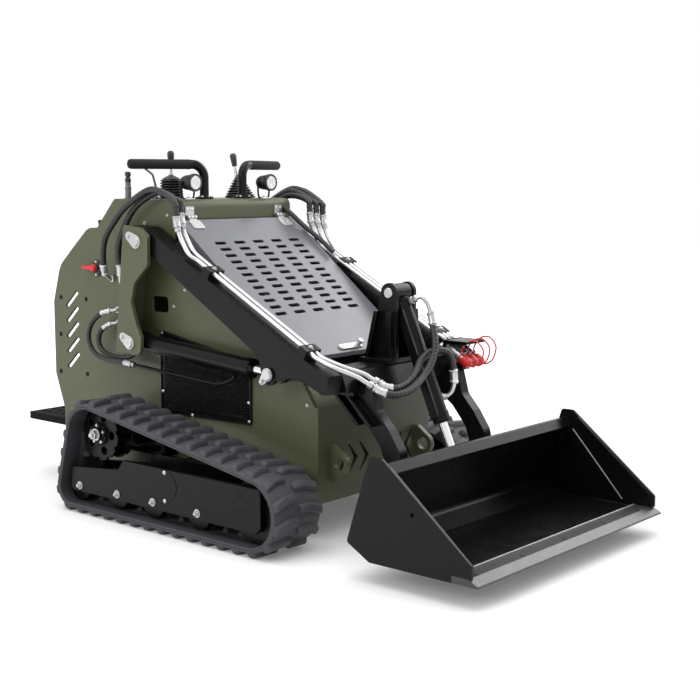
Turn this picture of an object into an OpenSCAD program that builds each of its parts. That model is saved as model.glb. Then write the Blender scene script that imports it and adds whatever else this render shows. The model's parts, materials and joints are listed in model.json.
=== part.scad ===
// Stand-on skid steer loader on rubber tracks, with a bucket on two lift arms.
// Millimetres. +X is forward, +Y is the machine's left, +Z is up, the ground is at z = 0.

/* [Tracks] */
// Gap between a side wall and its track
track_gap = 59; // [45:1:80]
// Width of a track belt
belt_w = 180; // [160:1:190]
// Thickness of the belt without lugs
belt_t = 14; // [10:1:16]
// Height of a tread lug
lug_h = 14; // [8:1:18]
// Distance between lugs along the belt
lug_pitch = 60; // [50:1:75]
// Length of a lug along the belt, at its root
lug_root = 30; // [22:1:34]
// Length of a lug along the belt, at its tip
lug_tip = 20; // [12:1:24]
// Turn of the lugs across the belt, in degrees
lug_skew = 9; // [0:1:15]
// Place of the drive sprocket along the machine
sprocket_x = -385; // [-410:1:-360]
// Height of the drive sprocket's axis
sprocket_z = 241; // [225:1:260]
// Radius of the belt over the sprocket, to the lug tips
sprocket_r = 109; // [100:1:115]
// Place of the front idler along the machine
idler_x = 288; // [260:1:310]
// Radius of the belt over the idler, to the lug tips
idler_r = 117.5; // [105:0.5:125]
// Place of the rear roller along the machine
rear_x = -467; // [-490:1:-445]
// Radius of the belt round the rear roller, to the lug tips
rear_r = 74; // [68:1:82]
// Places of the middle rollers along the machine
mid_rollers = [-292, -133, 59]; // [-400:1:200]

/* [Chassis] */
// Half of the width over the side walls
wall_half = 249; // [235:1:252]
// Thickness of the side walls and the front plate
wall_t = 8; // [5:1:12]
// Thickness of the sheet covers
sheet_t = 4; // [2:0.5:6]
// Place of the front plate's face
front_x = 329; // [310:1:350]
// Height of the belly
belly_z = 106; // [90:1:120]
// Height of the front plate's upright part
front_top_z = 377; // [350:1:400]
// Height of the nose behind the slanted front
nose_z = 448; // [430:1:470]
// Place of the nose behind the slanted front
nose_x = 263; // [245:1:280]
// Place of the console's front face
console_x = -240; // [-250:1:-230]
// Height of the console's top
console_z = 937; // [920:1:960]
// Height of the console's front face
console_face = 60; // [45:1:70]
// Place of the console's back edge
console_back_x = -518; // [-540:1:-480]
// Height of the shelf behind the console
shelf_z = 845; // [825:1:870]
// Place of the back wall
back_x = -840; // [-860:1:-800]
// Place of the platform's back edge
platform_x = -1005; // [-1060:1:-950]
// Height of the platform's tread
platform_z = 211; // [190:1:230]

/* [Arms] */
// Place of the lift arms' pivot along the machine
lift_x = -311; // [-320:1:-300]
// Height of the lift arms' pivot
lift_z = 813; // [805:1:825]
// Place of the lift cylinders' foot along the machine
ram_x = -349; // [-360:1:-340]
// Height of the lift cylinders' foot
ram_z = 509; // [495:1:520]
// Place of the lift rods' eyes along the machine
rod_x = 213; // [200:1:225]
// Height of the lift rods' eyes
rod_z = 464; // [455:1:475]
// Width of a lift arm
arm_w = 60; // [50:1:64]
// Gap between a side wall and its arm
arm_gap = 13; // [10:1:20]
// Gap between an arm and its pivot plate
ear_gap = 5; // [4:1:12]
// Thickness of the pivot plates
ear_t = 12; // [8:1:14]
// Diameter of the pivot pins
pin_d = 32; // [24:1:36]
// Place of the bucket's pivot along the machine
tip_x = 573; // [560:1:585]
// Height of the bucket's pivot
tip_z = 176; // [165:1:185]
// Width of a leg
leg_w = 34; // [24:1:40]
// Place of the tilt cylinder's upper pin along the machine
tower_x = 411; // [400:1:420]
// Height of the tilt cylinder's upper pin
tower_z = 683; // [670:1:700]
// Place of the tilt rod's eye along the machine
tilt_rod_x = 606; // [598:1:612]
// Height of the tilt rod's eye
tilt_rod_z = 244; // [236:1:252]
// Diameter of the lift cylinders' barrels
ram_d = 54; // [44:1:56]
// Diameter of the lift rods
ram_rod_d = 28; // [22:1:32]

/* [Bucket] */
// Half of the bucket's width
bucket_half = 450; // [420:1:480]
// Place of the cutting edge
edge_x = 1005; // [960:1:1050]
// Height of the bucket's floor, as it is carried
floor_z = 57; // [50:1:70]
// Place of the heel's front end
heel_x = 678; // [665:1:700]
// Place of the bucket's lowest back corner
bucket_back_x = 605; // [600:1:612]
// Height of the bucket's lowest back corner
bucket_back_z = 97; // [90:1:105]
// Place of the bucket's top edge
bucket_top_x = 693; // [685:1:705]
// Height of the bucket's top edge
bucket_top_z = 323; // [300:1:340]
// Thickness of the bucket's plates
bucket_t = 8; // [5:1:12]

/* [Hood] */
// Place of the hood's front edge
hood_x = 248; // [235:1:255]
// Height of the hood's front edge
hood_z = 503; // [495:1:512]
// Rows of slots in the hood
slot_rows = 12; // [6:1:12]
// Columns of slots in the hood
slot_columns = 5; // [3:1:5]

/* [Hidden] */
$fn = 48;

// Small distances that several pieces share
bore_gap = 0.05;
seat_gap = 0.3;
cut = 1;
inner_y = wall_half - wall_t;
track_half = wall_half + track_gap + belt_w;
arm_y = wall_half + arm_gap + arm_w / 2;
ear_in = arm_y + arm_w / 2 + ear_gap;
ear_half = ear_in + ear_t;
leg_y = wall_half - 55;
platform_half = inner_y - 1;
hinge_x = console_x + 10;
hinge_z = console_z - console_face + 7;
pin_r = pin_d / 2;

olive = [0.33, 0.34, 0.25];
black = [0.09, 0.09, 0.10];
charcoal = [0.30, 0.30, 0.32];
rubber = [0.13, 0.13, 0.13];
zinc = [0.80, 0.81, 0.82];
red = [0.80, 0.10, 0.12];

// A polygon of x, z and radius corners with each corner rounded by its radius
function corner(a, p, b, r, n = 5) =
    let(u = (a - p) / norm(a - p), v = (b - p) / norm(b - p),
        half = acos(u * v) / 2, back = r / tan(half),
        mid = p + (u + v) / norm(u + v) * r / sin(half),
        start = p + u * back - mid, stop = p + v * back - mid,
        from = atan2(start[1], start[0]),
        turn = (atan2(stop[1], stop[0]) - from + 540) % 360 - 180)
    [for (i = [0:n]) mid + r * [cos(from + turn * i / n), sin(from + turn * i / n)]];
function flat(p) = [p[0], p[1]];
function rounded(points) =
    let(n = len(points))
    [for (i = [0:n - 1])
        let(p = points[i], a = flat(points[(i + n - 1) % n]), b = flat(points[(i + 1) % n]))
        each (len(p) == 2 || p[2] == 0) ? [flat(p)] : corner(a, flat(p), b, p[2])];

// A side outline in x and z, as a plate from y0 to y1
module side_plate(points, y0, y1) {
    translate([0, y1, 0]) rotate([90, 0, 0]) linear_extrude(y1 - y0) polygon(rounded(points));
}
module bar_y(x, z, r, y0, y1) {
    translate([x, y1, z]) rotate([90, 0, 0]) cylinder(r = r, h = y1 - y0);
}
module block(x0, x1, y0, y1, z0, z1) {
    translate([x0, y0, z0]) cube([x1 - x0, y1 - y0, z1 - z0]);
}
// Children modelled along +X from a point, turned up by an angle in the side view
module aim(x, y, z, angle) {
    translate([x, y, z]) rotate([0, -angle, 0]) children();
}
module left_of() {
    mirror([0, 1, 0]) children();
}
module rod_x_axis(r, x0, x1) {
    translate([x0, 0, 0]) rotate([0, 90, 0]) cylinder(r = r, h = x1 - x0);
}

// The belt's loop round its three wheels, as x, z and radius at the lug tips
axles = [[sprocket_x, sprocket_z, sprocket_r], [rear_x, rear_r, rear_r], [idler_x, idler_r, idler_r]];
function axle(i) = axles[(i + 3) % 3];
function gap_angle(a, b) =
    atan2(b[1] - a[1], b[0] - a[0]) - acos((a[2] - b[2]) / norm([b[0] - a[0], b[1] - a[1]]));
function arrive(i) = gap_angle(axle(i - 1), axle(i));
function leave(i) = gap_angle(axle(i), axle(i + 1));
function sweep(i) = (leave(i) - arrive(i) + 720) % 360;
function arc_r(i) = axle(i)[2] - lug_h;
function arc_len(i) = sweep(i) * PI / 180 * arc_r(i);
function run_len(i) =
    let(a = axle(i), b = axle(i + 1), d = norm([b[0] - a[0], b[1] - a[1]]))
    sqrt(d * d - (a[2] - b[2]) * (a[2] - b[2]));
loop_len = arc_len(0) + run_len(0) + arc_len(1) + run_len(1) + arc_len(2) + run_len(2);
lug_count = round(loop_len / lug_pitch);
lug_step = loop_len / lug_count;
// A place on the belt's outer face: x, z, outward angle, and radius of the bend or 0
function loop_at(s, i = 0) =
    let(a = axle(i), r = arc_r(i))
    s < arc_len(i)
        ? let(t = arrive(i) + s / r * 180 / PI) [a[0] + r * cos(t), a[1] + r * sin(t), t, r]
    : s < arc_len(i) + run_len(i)
        ? let(t = leave(i), d = s - arc_len(i))
          [a[0] + r * cos(t) - d * sin(t), a[1] + r * sin(t) + d * cos(t), t, 0]
    : loop_at(s - arc_len(i) - run_len(i), i + 1);

module loop_area(inset) {
    for (a = axles) translate([a[0], a[1]]) circle(r = a[2] - inset);
    polygon([for (i = [0:2], t = [arrive(i), leave(i)])
        let(a = axle(i), r = a[2] - inset) [a[0] + r * cos(t), a[1] + r * sin(t)]]);
}

track_y = track_half - belt_w / 2;
belt_depth = lug_h + belt_t;
lug_gap = 12;
lug_w = (belt_w - lug_gap) / 2 - 2;
lug_sink = 3;
lug_relief = 0.5;
drive_w = 34;
drive_h = 18;
drive_root = 24;
drive_tip = 14;

module on_loop(s) {
    p = loop_at(s);
    translate([p[0], 0, p[1]]) rotate([0, 90 - p[2], 0]) children();
}
module tread_lug(s, row) {
    bend = loop_at(s)[3];
    height = bend > 0 ? sqrt(pow(bend + lug_h, 2) - pow(lug_tip / 2, 2)) - bend - lug_relief : lug_h;
    on_loop(s) translate([0, row * (lug_gap + lug_w) / 2, 0])
        rotate([0, 0, row * lug_skew]) rotate([90, 0, 0]) linear_extrude(lug_w, center = true)
            polygon([[-lug_root / 2, -lug_sink], [lug_root / 2, -lug_sink],
                [lug_tip / 2, height], [-lug_tip / 2, height]]);
}
module drive_lug(s) {
    on_loop(s) translate([0, 0, -belt_t]) rotate([90, 0, 0])
        linear_extrude(drive_w, center = true)
            polygon([[-drive_root / 2, lug_sink], [drive_root / 2, lug_sink],
                [drive_tip / 2, -drive_h], [-drive_tip / 2, -drive_h]]);
}
module track() {
    color(rubber) translate([0, -track_y, 0]) {
        rotate([90, 0, 0]) linear_extrude(belt_w, center = true) difference() {
            loop_area(lug_h);
            loop_area(belt_depth);
        }
        for (i = [0:lug_count - 1]) {
            tread_lug(i * lug_step, -1);
            tread_lug((i + 0.5) * lug_step, 1);
            drive_lug(i * lug_step);
        }
    }
}
module track_right() track();
module track_left() left_of() track();

// The frame inside a track: two plates, a web over the rollers and two beams to the wall
frame_t = 12;
frame_gap = 110;
frame_low_z = 62;
frame_top_z = 185;
frame_step_z = 154;
frame_rear_z = 133;
frame_step_x = -240;
frame_step_slope = 24;
frame_back_x = -486;
frame_front_x = 318;
frame_chamfer = 18;
beam_size = 60;
beam_z = 110;
beam_places = [-150, 150];
web_t = 10;
axle_r = 14;
roller_r = rear_r - belt_depth - seat_gap;
web_z = rear_r + roller_r + 4;
frame_out = track_y + frame_gap / 2;
frame_in = track_y - frame_gap / 2;
frame_outline = [[frame_back_x, frame_low_z, 12], [frame_back_x, frame_rear_z, 12],
    [frame_step_x - frame_step_slope, frame_step_z, 0], [frame_step_x, frame_top_z, 0],
    [frame_front_x, frame_top_z, 12], [frame_front_x, frame_low_z + frame_chamfer, 0],
    [frame_front_x - frame_chamfer, frame_low_z, 0]];
module track_frame() {
    color(black) {
        side_plate(frame_outline, -frame_out - frame_t, -frame_out);
        side_plate(frame_outline, -frame_in, -frame_in + frame_t);
        block(frame_step_x, idler_x - idler_r + belt_depth - 8, -frame_out - cut, -frame_in + cut,
            web_z, web_z + web_t);
        for (x = beam_places)
            block(x - beam_size / 2, x + beam_size / 2, -frame_in + frame_t - cut, -wall_half,
                beam_z, beam_z + beam_size);
    }
}
module track_frame_right() track_frame();
module track_frame_left() left_of() track_frame();

roller_w = 96;
roller_groove = 44;
module roller(x, z, r) {
    translate([x, -track_y, z]) rotate([90, 0, 0]) {
        cylinder(r = axle_r, h = frame_gap, center = true);
        for (side = [-1, 1])
            translate([0, 0, side * (roller_w + roller_groove) / 4])
                cylinder(r = r, h = (roller_w - roller_groove) / 2, center = true);
    }
}
module rollers() {
    color(black) {
        for (x = concat([rear_x], mid_rollers)) roller(x, rear_r, roller_r);
        roller(idler_x, idler_r, idler_r - belt_depth - seat_gap);
    }
}
module rollers_right() rollers();
module rollers_left() left_of() rollers();

// A bar sprocket with toothed discs on its hydraulic motor
disc_t = 8;
disc_gap = 50;
hub_r = 34;
hub_out = 12;
hub_cap_r = 20;
hub_bolts = 5;
hub_bolt_r = 6;
hub_bolt_ring = 27;
window_r = 13;
window_ring = 52;
motor_r = 54;
bar_r = 7;
notch_r = 9;
sprocket_bars = round(2 * PI * arc_r(0) / lug_step);
disc_r = sprocket_r - belt_depth - seat_gap;
bar_circle_r = disc_r - 13;
first_bar = arrive(0) + lug_step / 2 / arc_r(0) * 180 / PI;
module around(count, r, first = 0) {
    for (i = [0:count - 1]) rotate(first + i * 360 / count) translate([r, 0, 0]) children();
}
module sprocket_disc() {
    difference() {
        cylinder(r = disc_r, h = disc_t, center = true);
        around(sprocket_bars, disc_r + 2, first_bar + 180 / sprocket_bars)
            cylinder(r = notch_r, h = 2 * disc_t, center = true);
        around(hub_bolts, window_ring) cylinder(r = window_r, h = 2 * disc_t, center = true);
    }
}
module final_drive() {
    out = (disc_gap + disc_t) / 2;
    color(black) translate([sprocket_x, -track_y, sprocket_z]) rotate([90, 0, 0]) {
        for (side = [-1, 1]) translate([0, 0, side * out]) sprocket_disc();
        cylinder(r = hub_r, h = 2 * out, center = true);
        around(sprocket_bars, bar_circle_r, first_bar) cylinder(r = bar_r, h = 2 * out, center = true);
        translate([0, 0, out]) cylinder(r = hub_r, h = hub_out);
        translate([0, 0, out]) cylinder(r = hub_cap_r, h = hub_out + 10);
        translate([0, 0, out]) around(hub_bolts, hub_bolt_ring) cylinder(r = hub_bolt_r, h = hub_out + 6);
        translate([0, 0, wall_half - track_y]) cylinder(r = motor_r, h = track_y - wall_half - out);
    }
}
module final_drive_right() final_drive();
module final_drive_left() left_of() final_drive();

// The side walls, their outline shared by the covers that close them
shelf_front_x = -606;
shelf_back_x = -651;
back_slope_x = -802;
back_slope_z = 720;
back_low_z = 363;
toe_x = -797;
toe_z = 247;
sill_z = 150;
sill_run = 40;
notch_z = 794;
console_round = 22;
louvre_count = 5;
louvre_pitch = 50;
louvre_x = -744;
louvre_z = 611;
louvre_len = 78;
louvre_w = 14;
louvre_tilt = 42;
rear_edge = [[console_back_x, console_z, 12], [shelf_front_x, shelf_z, 12],
    [shelf_back_x, shelf_z, 60], [back_slope_x, back_slope_z, 90], [back_x, back_slope_z - 120, 60],
    [back_x, back_low_z, 20], [toe_x, toe_z, 20], [toe_x, sill_z, 10], [toe_x + sill_run, belly_z, 10]];
wall_outline = concat(
    [[front_x - wall_t, belly_z], [front_x - wall_t, front_top_z - 3], [nose_x, nose_z],
     [console_x, notch_z], [console_x, console_z, console_round]], rear_edge);
grille_x = [-308, -40, 77];
grille_z = [290, 544, 500, 435, 299];
grille_outline = [[grille_x[0], grille_z[0], 8], [grille_x[0], grille_z[1], 8],
    [grille_x[1], grille_z[2], 8], [grille_x[2], grille_z[3], 8], [grille_x[2], grille_z[4], 8]];
grille_margin = 16;
port_x = -312;
port_z = 622;
port_half_x = 36;
port_half_z = 24;
port_round = 12;
module wall() {
    difference() {
        side_plate(wall_outline, -wall_half, -inner_y);
        for (i = [0:louvre_count - 1])
            translate([louvre_x, -wall_half - cut, louvre_z - i * louvre_pitch])
                rotate([0, -louvre_tilt, 0])
                    translate([-louvre_len / 2, 0, -louvre_w / 2])
                        cube([louvre_len, wall_t + 2 * cut, louvre_w]);
        side_plate([for (c = [[-1, -1], [-1, 1], [1, 1], [1, -1]])
            [port_x + c[0] * port_half_x, port_z + c[1] * port_half_z, port_round]],
            -wall_half - cut, -inner_y + cut);
    }
}
module right_wall() {
    color(olive) difference() {
        wall();
        side_plate([for (p = grille_outline) [p[0] + (p[0] < 0 ? 1 : -1) * grille_margin,
            p[1] + (p[1] < 400 ? 1 : -1) * grille_margin * 1.2]], -wall_half - cut, -inner_y + cut);
    }
}
module left_wall() color(olive) left_of() wall();

grille_t = 4;
grille_rows = 9;
grille_pitch = 22;
grille_slot = 9;
grille_edge = 26;
module radiator_grille() {
    color(black) difference() {
        side_plate(grille_outline, -wall_half - grille_t, -wall_half);
        intersection() {
            for (i = [0:grille_rows - 1])
                block(grille_x[0] + grille_edge, grille_x[2] - grille_edge, -wall_half - grille_t - cut,
                    -wall_half + cut, grille_z[0] + grille_edge + i * grille_pitch,
                    grille_z[0] + grille_edge + i * grille_pitch + grille_slot);
            side_plate([[grille_x[0], grille_z[0]], [grille_x[0], grille_z[1] - grille_edge],
                [grille_x[1], grille_z[2] - grille_edge], [grille_x[2], grille_z[3] - grille_edge],
                [grille_x[2], grille_z[4]]], -wall_half - 2 * grille_t, -wall_half + 2 * cut);
        }
    }
}

// Front plate with chevron vents, a slanted nose and two tie-down eyes
chevron_tips = [-127, -79, -30];
chevron_z = 215;
chevron_half = 42;
chevron_back = 37;
chevron_w = 18;
eye_y = wall_half - 59;
eye_t = 16;
eye_out = 30;
eye_z = 216;
eye_r = 32;
eye_hole_r = 19;
eye_foot = 52;
module chevron() {
    translate([0, 0, chevron_z]) rotate([90, 0, 90])
        linear_extrude(2 * wall_t + 2 * cut, center = true)
            polygon([[0, 0], [-chevron_back, chevron_half], [-chevron_back - chevron_w * 0.4, chevron_half],
                [-chevron_w, 0], [-chevron_back - chevron_w * 0.4, -chevron_half],
                [-chevron_back, -chevron_half]]);
}
module tie_down() {
    eye_x = front_x + eye_out;
    difference() {
        union() {
            bar_y(eye_x, eye_z, eye_r, -eye_y - eye_t / 2, -eye_y + eye_t / 2);
            side_plate([[front_x - cut, eye_z - eye_foot], [front_x + 10, eye_z - eye_foot],
                [eye_x + 12, eye_z - eye_r + 2], [eye_x + 12, eye_z + eye_r - 2],
                [front_x + 10, eye_z + eye_foot], [front_x - cut, eye_z + eye_foot]],
                -eye_y - eye_t / 2, -eye_y + eye_t / 2);
        }
        bar_y(eye_x, eye_z, eye_hole_r, -eye_y - eye_t, -eye_y + eye_t);
    }
}
module front_plate() {
    color(olive) {
        difference() {
            block(front_x - wall_t, front_x, -wall_half, wall_half, belly_z, front_top_z);
            for (y = chevron_tips) translate([front_x, y, 0]) {
                chevron();
            }
            left_of() for (y = chevron_tips) translate([front_x, y, 0]) chevron();
        }
        side_plate([[front_x - wall_t, front_top_z - cut], [front_x, front_top_z - cut],
            [front_x, front_top_z], [nose_x + 4, nose_z + 4], [nose_x - 4, nose_z - 2],
            [front_x - wall_t, front_top_z - 8]], -inner_y + seat_gap, inner_y - seat_gap);
        tie_down();
        left_of() tie_down();
    }
}

module belly_pan() {
    color(olive) block(bulkhead_x, front_x - wall_t, -inner_y, inner_y, belly_z, belly_z + wall_t);
}

// The sheet behind the console, down to a shelf and on as a bulkhead; the walls run on past it
function inset(p, i, t) =
    let(run = p[min(i + 1, len(p) - 1)] - p[max(i - 1, 0)]) p[i] + t / norm(run) * [-run[1], run[0]];
bulkhead_x = shelf_back_x;
bulkhead_round = 20;
module rear_cover() {
    edge = rounded([[console_x, console_z], [console_back_x, console_z, 12], [shelf_front_x, shelf_z, 12],
        [bulkhead_x, shelf_z, bulkhead_round], [bulkhead_x, belly_z + wall_t]]);
    body = [for (p = edge) if (p[0] < console_back_x - 1) p];
    color(olive) translate([0, inner_y, 0]) rotate([90, 0, 0]) linear_extrude(2 * inner_y)
        polygon(concat(body, [for (i = [len(body) - 1:-1:0]) inset(body, i, sheet_t)]));
}

module console() {
    low = console_z - console_face;
    color(olive) side_plate([[console_x, low], [console_x, console_z, console_round],
        [console_back_x, console_z], [console_back_x, console_z - sheet_t],
        [console_x - sheet_t, console_z - sheet_t, console_round - sheet_t],
        [console_x - sheet_t, low]], -inner_y, inner_y);
}

// The engine as one plain block on the belly pan
engine_half = 150;
engine_back_x = -170;
engine_front_x = 130;
engine_top_z = 470;
module engine() {
    color(charcoal) block(engine_back_x, engine_front_x, -engine_half, engine_half,
        belly_z + wall_t, engine_top_z);
}

// The pivot plates that carry the arms and the lift cylinders outboard of the walls
ear_low_z = ram_z - 33;
ear_top_z = lift_z + 49;
ear_back_low_x = ram_x - 67;
ear_back_top_x = lift_x - 58;
ear_outline = [[ear_back_low_x, ear_low_z, 12], [ear_back_top_x, ear_top_z, 10],
    [lift_x + 19, ear_top_z - 7, 20], [lift_x + 50, lift_z + 19, 14], [lift_x + 47, lift_z - 69, 20],
    [lift_x - 13, lift_z - 122, 30], [ram_x + 8, ram_z + 123, 30], [ram_x + 30, ram_z + 57, 30],
    [ram_x + 51, ram_z + 19, 20], [ram_x + 46, ear_low_z, 18]];
ear_web_t = 10;
module ear() {
    color(olive) difference() {
        union() {
            side_plate(ear_outline, -ear_half, -ear_in);
            side_plate([[ear_back_low_x, ear_low_z + 2], [ear_back_top_x, ear_top_z - 2],
                [ear_back_top_x + ear_web_t, ear_top_z - 2], [ear_back_low_x + ear_web_t, ear_low_z + 2]],
                -ear_in - cut, -wall_half);
        }
        bar_y(lift_x, lift_z, pin_r + bore_gap, -ear_half - cut, -ear_in + cut);
        bar_y(ram_x, ram_z, pin_r + bore_gap, -ear_half - cut, -ear_in + cut);
    }
}
module ear_right() ear();
module ear_left() left_of() ear();

keeper_t = 5;
keeper_len = 34;
keeper_r = 9;
keeper_head_r = 22;
module keeper_pin(x, z, angle) {
    bar_y(x, z, pin_r, -ear_half - keeper_t / 2, -wall_half);
    translate([x, -ear_half, z]) rotate([90, 0, 0]) linear_extrude(keeper_t) {
        circle(r = keeper_head_r);
        rotate(angle) {
            translate([0, -keeper_r]) square([keeper_len, 2 * keeper_r]);
            translate([keeper_len, 0]) circle(r = keeper_r + 1);
        }
    }
}
module pivot_pins() {
    color(zinc) {
        keeper_pin(lift_x, lift_z, 150);
        keeper_pin(ram_x, ram_z, 200);
    }
}
module pivot_pins_right() pivot_pins();
module pivot_pins_left() left_of() pivot_pins();

// A lift arm: a box beam from its pivot to the front, with a forked lug for the rod's eye
arm_out = arm_y + arm_w / 2;
arm_in = arm_y - arm_w / 2;
boss_r = 45;
beam_top_slope = 27.8;
arm_front_x = 430;
arm_front_top = 480;
arm_front_low = 432;
beam_low_x = 177;
beam_low_z = 512;
lug_r = 28;
fork_gap = 38;
// The room inside the fork for the rod's eye, from the eye
fork_cut = [[-90, -60], [-90, 55], [-45, 75], [40, 75], [70, 20], [70, -60]];
// Height of the beam's top line over a place along the machine
function beam_top(x) =
    lift_z + boss_r / cos(beam_top_slope) - (x - lift_x) * tan(beam_top_slope);
module tube_clamp(x, rows) {
    color(black) aim(x, 0, beam_top(x), -beam_top_slope) difference() {
        translate([-clamp_len / 2, -arm_y - clamp_w / 2, -cut])
            cube([clamp_len, clamp_w, clamp_h + cut]);
        for (y = rows)
            translate([0, -y, tube_rise * cos(beam_top_slope)])
                rod_x_axis(tube_r + seat_gap, -clamp_len, clamp_len);
    }
}
module arm(rows) {
    n = 90 - beam_top_slope;
    color(black) difference() {
        union() {
            bar_y(lift_x, lift_z, boss_r, -arm_out, -arm_in);
            side_plate([[lift_x, lift_z - 12], [lift_x + boss_r * cos(n), lift_z + boss_r * sin(n)],
                [arm_front_x - 42, arm_front_top + 16, 20], [arm_front_x, arm_front_top],
                [arm_front_x, arm_front_low], [arm_front_x - 20, arm_front_low - 2],
                [rod_x + 132, rod_z - 7, 30], [rod_x + 84, rod_z - 1, 20], [rod_x + lug_r - 4, rod_z - 14],
                [rod_x - lug_r + 1, rod_z - 4], [beam_low_x, beam_low_z, 14]], -arm_out, -arm_in);
            bar_y(rod_x, rod_z, lug_r, -arm_out, -arm_in);
        }
        bar_y(lift_x, lift_z, pin_r + bore_gap, -arm_out - cut, -arm_in + cut);
        side_plate([for (p = fork_cut) [rod_x + p[0], rod_z + p[1]]],
            -arm_y - fork_gap / 2, -arm_y + fork_gap / 2);
    }
    for (x = clamp_places) tube_clamp(x, rows);
    color(zinc) for (y = [-arm_out - keeper_t, -arm_in])
        bar_y(rod_x, rod_z, pin_r - 2, y, y + keeper_t);
}
module arm_right() arm(right_rows);
module arm_left() left_of() arm(left_rows);

// The box that joins the arms at the front, with the tilt tower on it and the legs below
cross_back_x = 335;
cross_front_x = 446;
cross_low_z = 432;
cross_top_z = 488;
cross_slant = 22;
module cross_member() {
    color(black) side_plate([[cross_back_x, cross_low_z], [cross_back_x, cross_top_z, 6],
        [cross_front_x - cross_slant, cross_top_z, 8], [cross_front_x, cross_low_z, 0]], -arm_in, arm_in);
}

leg_boss_r = 30;
// A leg's outline: share of the way to the tip, distance in front of that line, rounding
leg_top = [cross_front_x - 42, cross_low_z];
leg_front = [[0.113, 78, 12], [0.322, 57, 30], [0.513, 66, 40], [0.722, 67, 40]];
leg_back = [[0.687, 11, 20], [0.577, 17, 40], [0.359, 9, 40], [0.132, -15, 30]];
leg_lip_w = 28;
leg_lip_h = 38;
function leg_at(p) =
    let(run = [tip_x, tip_z] - leg_top, q = leg_top + p[0] * run + p[1] / norm(run) * [-run[1], run[0]])
    [q[0], q[1], p[2]];
leg_ribs = [cross_front_x - 84, cross_front_x - 42];
leg_rib_t = 12;
leg_rib_w = 26;
leg_rib_run = 92;
leg_rib_fall = 88;
module leg() {
    y0 = -leg_y - leg_w / 2;
    y1 = -leg_y + leg_w / 2;
    low = cross_low_z - seat_gap;
    color(black) difference() {
        union() {
            bar_y(tip_x, tip_z, leg_boss_r, y0, y1);
            side_plate(concat([[cross_front_x - 104, low], [cross_front_x + seat_gap, low],
                [cross_front_x + seat_gap, low + leg_lip_h],
                [cross_front_x + leg_lip_w, low + leg_lip_h]],
                [for (p = leg_front) leg_at(p)],
                [[tip_x + leg_boss_r, tip_z + 4], [tip_x - leg_boss_r, tip_z - 4]],
                [for (p = leg_back) leg_at(p)]), y0, y1);
        }
        bar_y(tip_x, tip_z, pin_r - 4 + bore_gap, y0 - cut, y1 + cut);
    }
    color(black) for (x = leg_ribs)
        side_plate([[x, low], [x + leg_rib_t, low], [x + leg_rib_run + leg_rib_t, low - leg_rib_fall],
            [x + leg_rib_run, low - leg_rib_fall]], y0 - leg_rib_w, y0);
    color(black) block(leg_ribs[0], cross_front_x, y0 - leg_rib_w, y0, low - leg_rib_t, low);
}
module leg_right() leg();
module leg_left() left_of() leg();

// The tilt tower: two plates with a web behind, and the pin of the tilt cylinder
tower_gap = 66;
tower_t = 12;
tower_eye_r = 28;
tower_back_x = 338;
tower_front_x = 436;
tower_pin_r = 14;
tower_rib = 20;
tower_taper = 0.5;
tower_foot = 8;
module tower_plate(y0, y1) {
    bar_y(tower_x, tower_z, tower_eye_r, y0, y1);
    side_plate([[tower_back_x, cross_top_z], [tower_x - tower_eye_r, tower_z + 4],
        [tower_x + tower_eye_r, tower_z], [tower_front_x, cross_top_z]], y0, y1);
}
module tilt_tower() {
    outer = tower_gap / 2 + tower_t;
    color(black) difference() {
        union() {
            tower_plate(-outer, -tower_gap / 2);
            tower_plate(tower_gap / 2, outer);
            side_plate([[tower_back_x, cross_top_z], [tower_x - tower_eye_r - 20, tower_z - 60],
                [tower_x - tower_eye_r - 10, tower_z - 60], [tower_back_x + 12, cross_top_z]],
                -tower_gap / 2 - cut, tower_gap / 2 + cut);
            for (side = [-1, 1], x = [tower_back_x, tower_front_x - tower_t])
                side_plate([[x, cross_top_z], [x + tower_t, cross_top_z],
                    [tower_x + (x - tower_x) * tower_taper + tower_t, tower_z - 50],
                    [tower_x + (x - tower_x) * tower_taper, tower_z - 50]],
                    side * (outer + tower_rib / 2) - tower_rib / 2 - cut,
                    side * (outer + tower_rib / 2) + tower_rib / 2);
            block(tower_back_x - tower_foot, tower_front_x, -outer - tower_rib - tower_foot,
                outer + tower_rib + tower_foot, cross_top_z, cross_top_z + tower_t);
        }
        bar_y(tower_x, tower_z, tower_pin_r + bore_gap, -outer - cut, outer + cut);
    }
}
module tower_pin() {
    reach = tower_gap / 2 + tower_t + 2;
    color(zinc) bar_y(tower_x, tower_z, tower_pin_r, -reach, reach);
}

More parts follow.
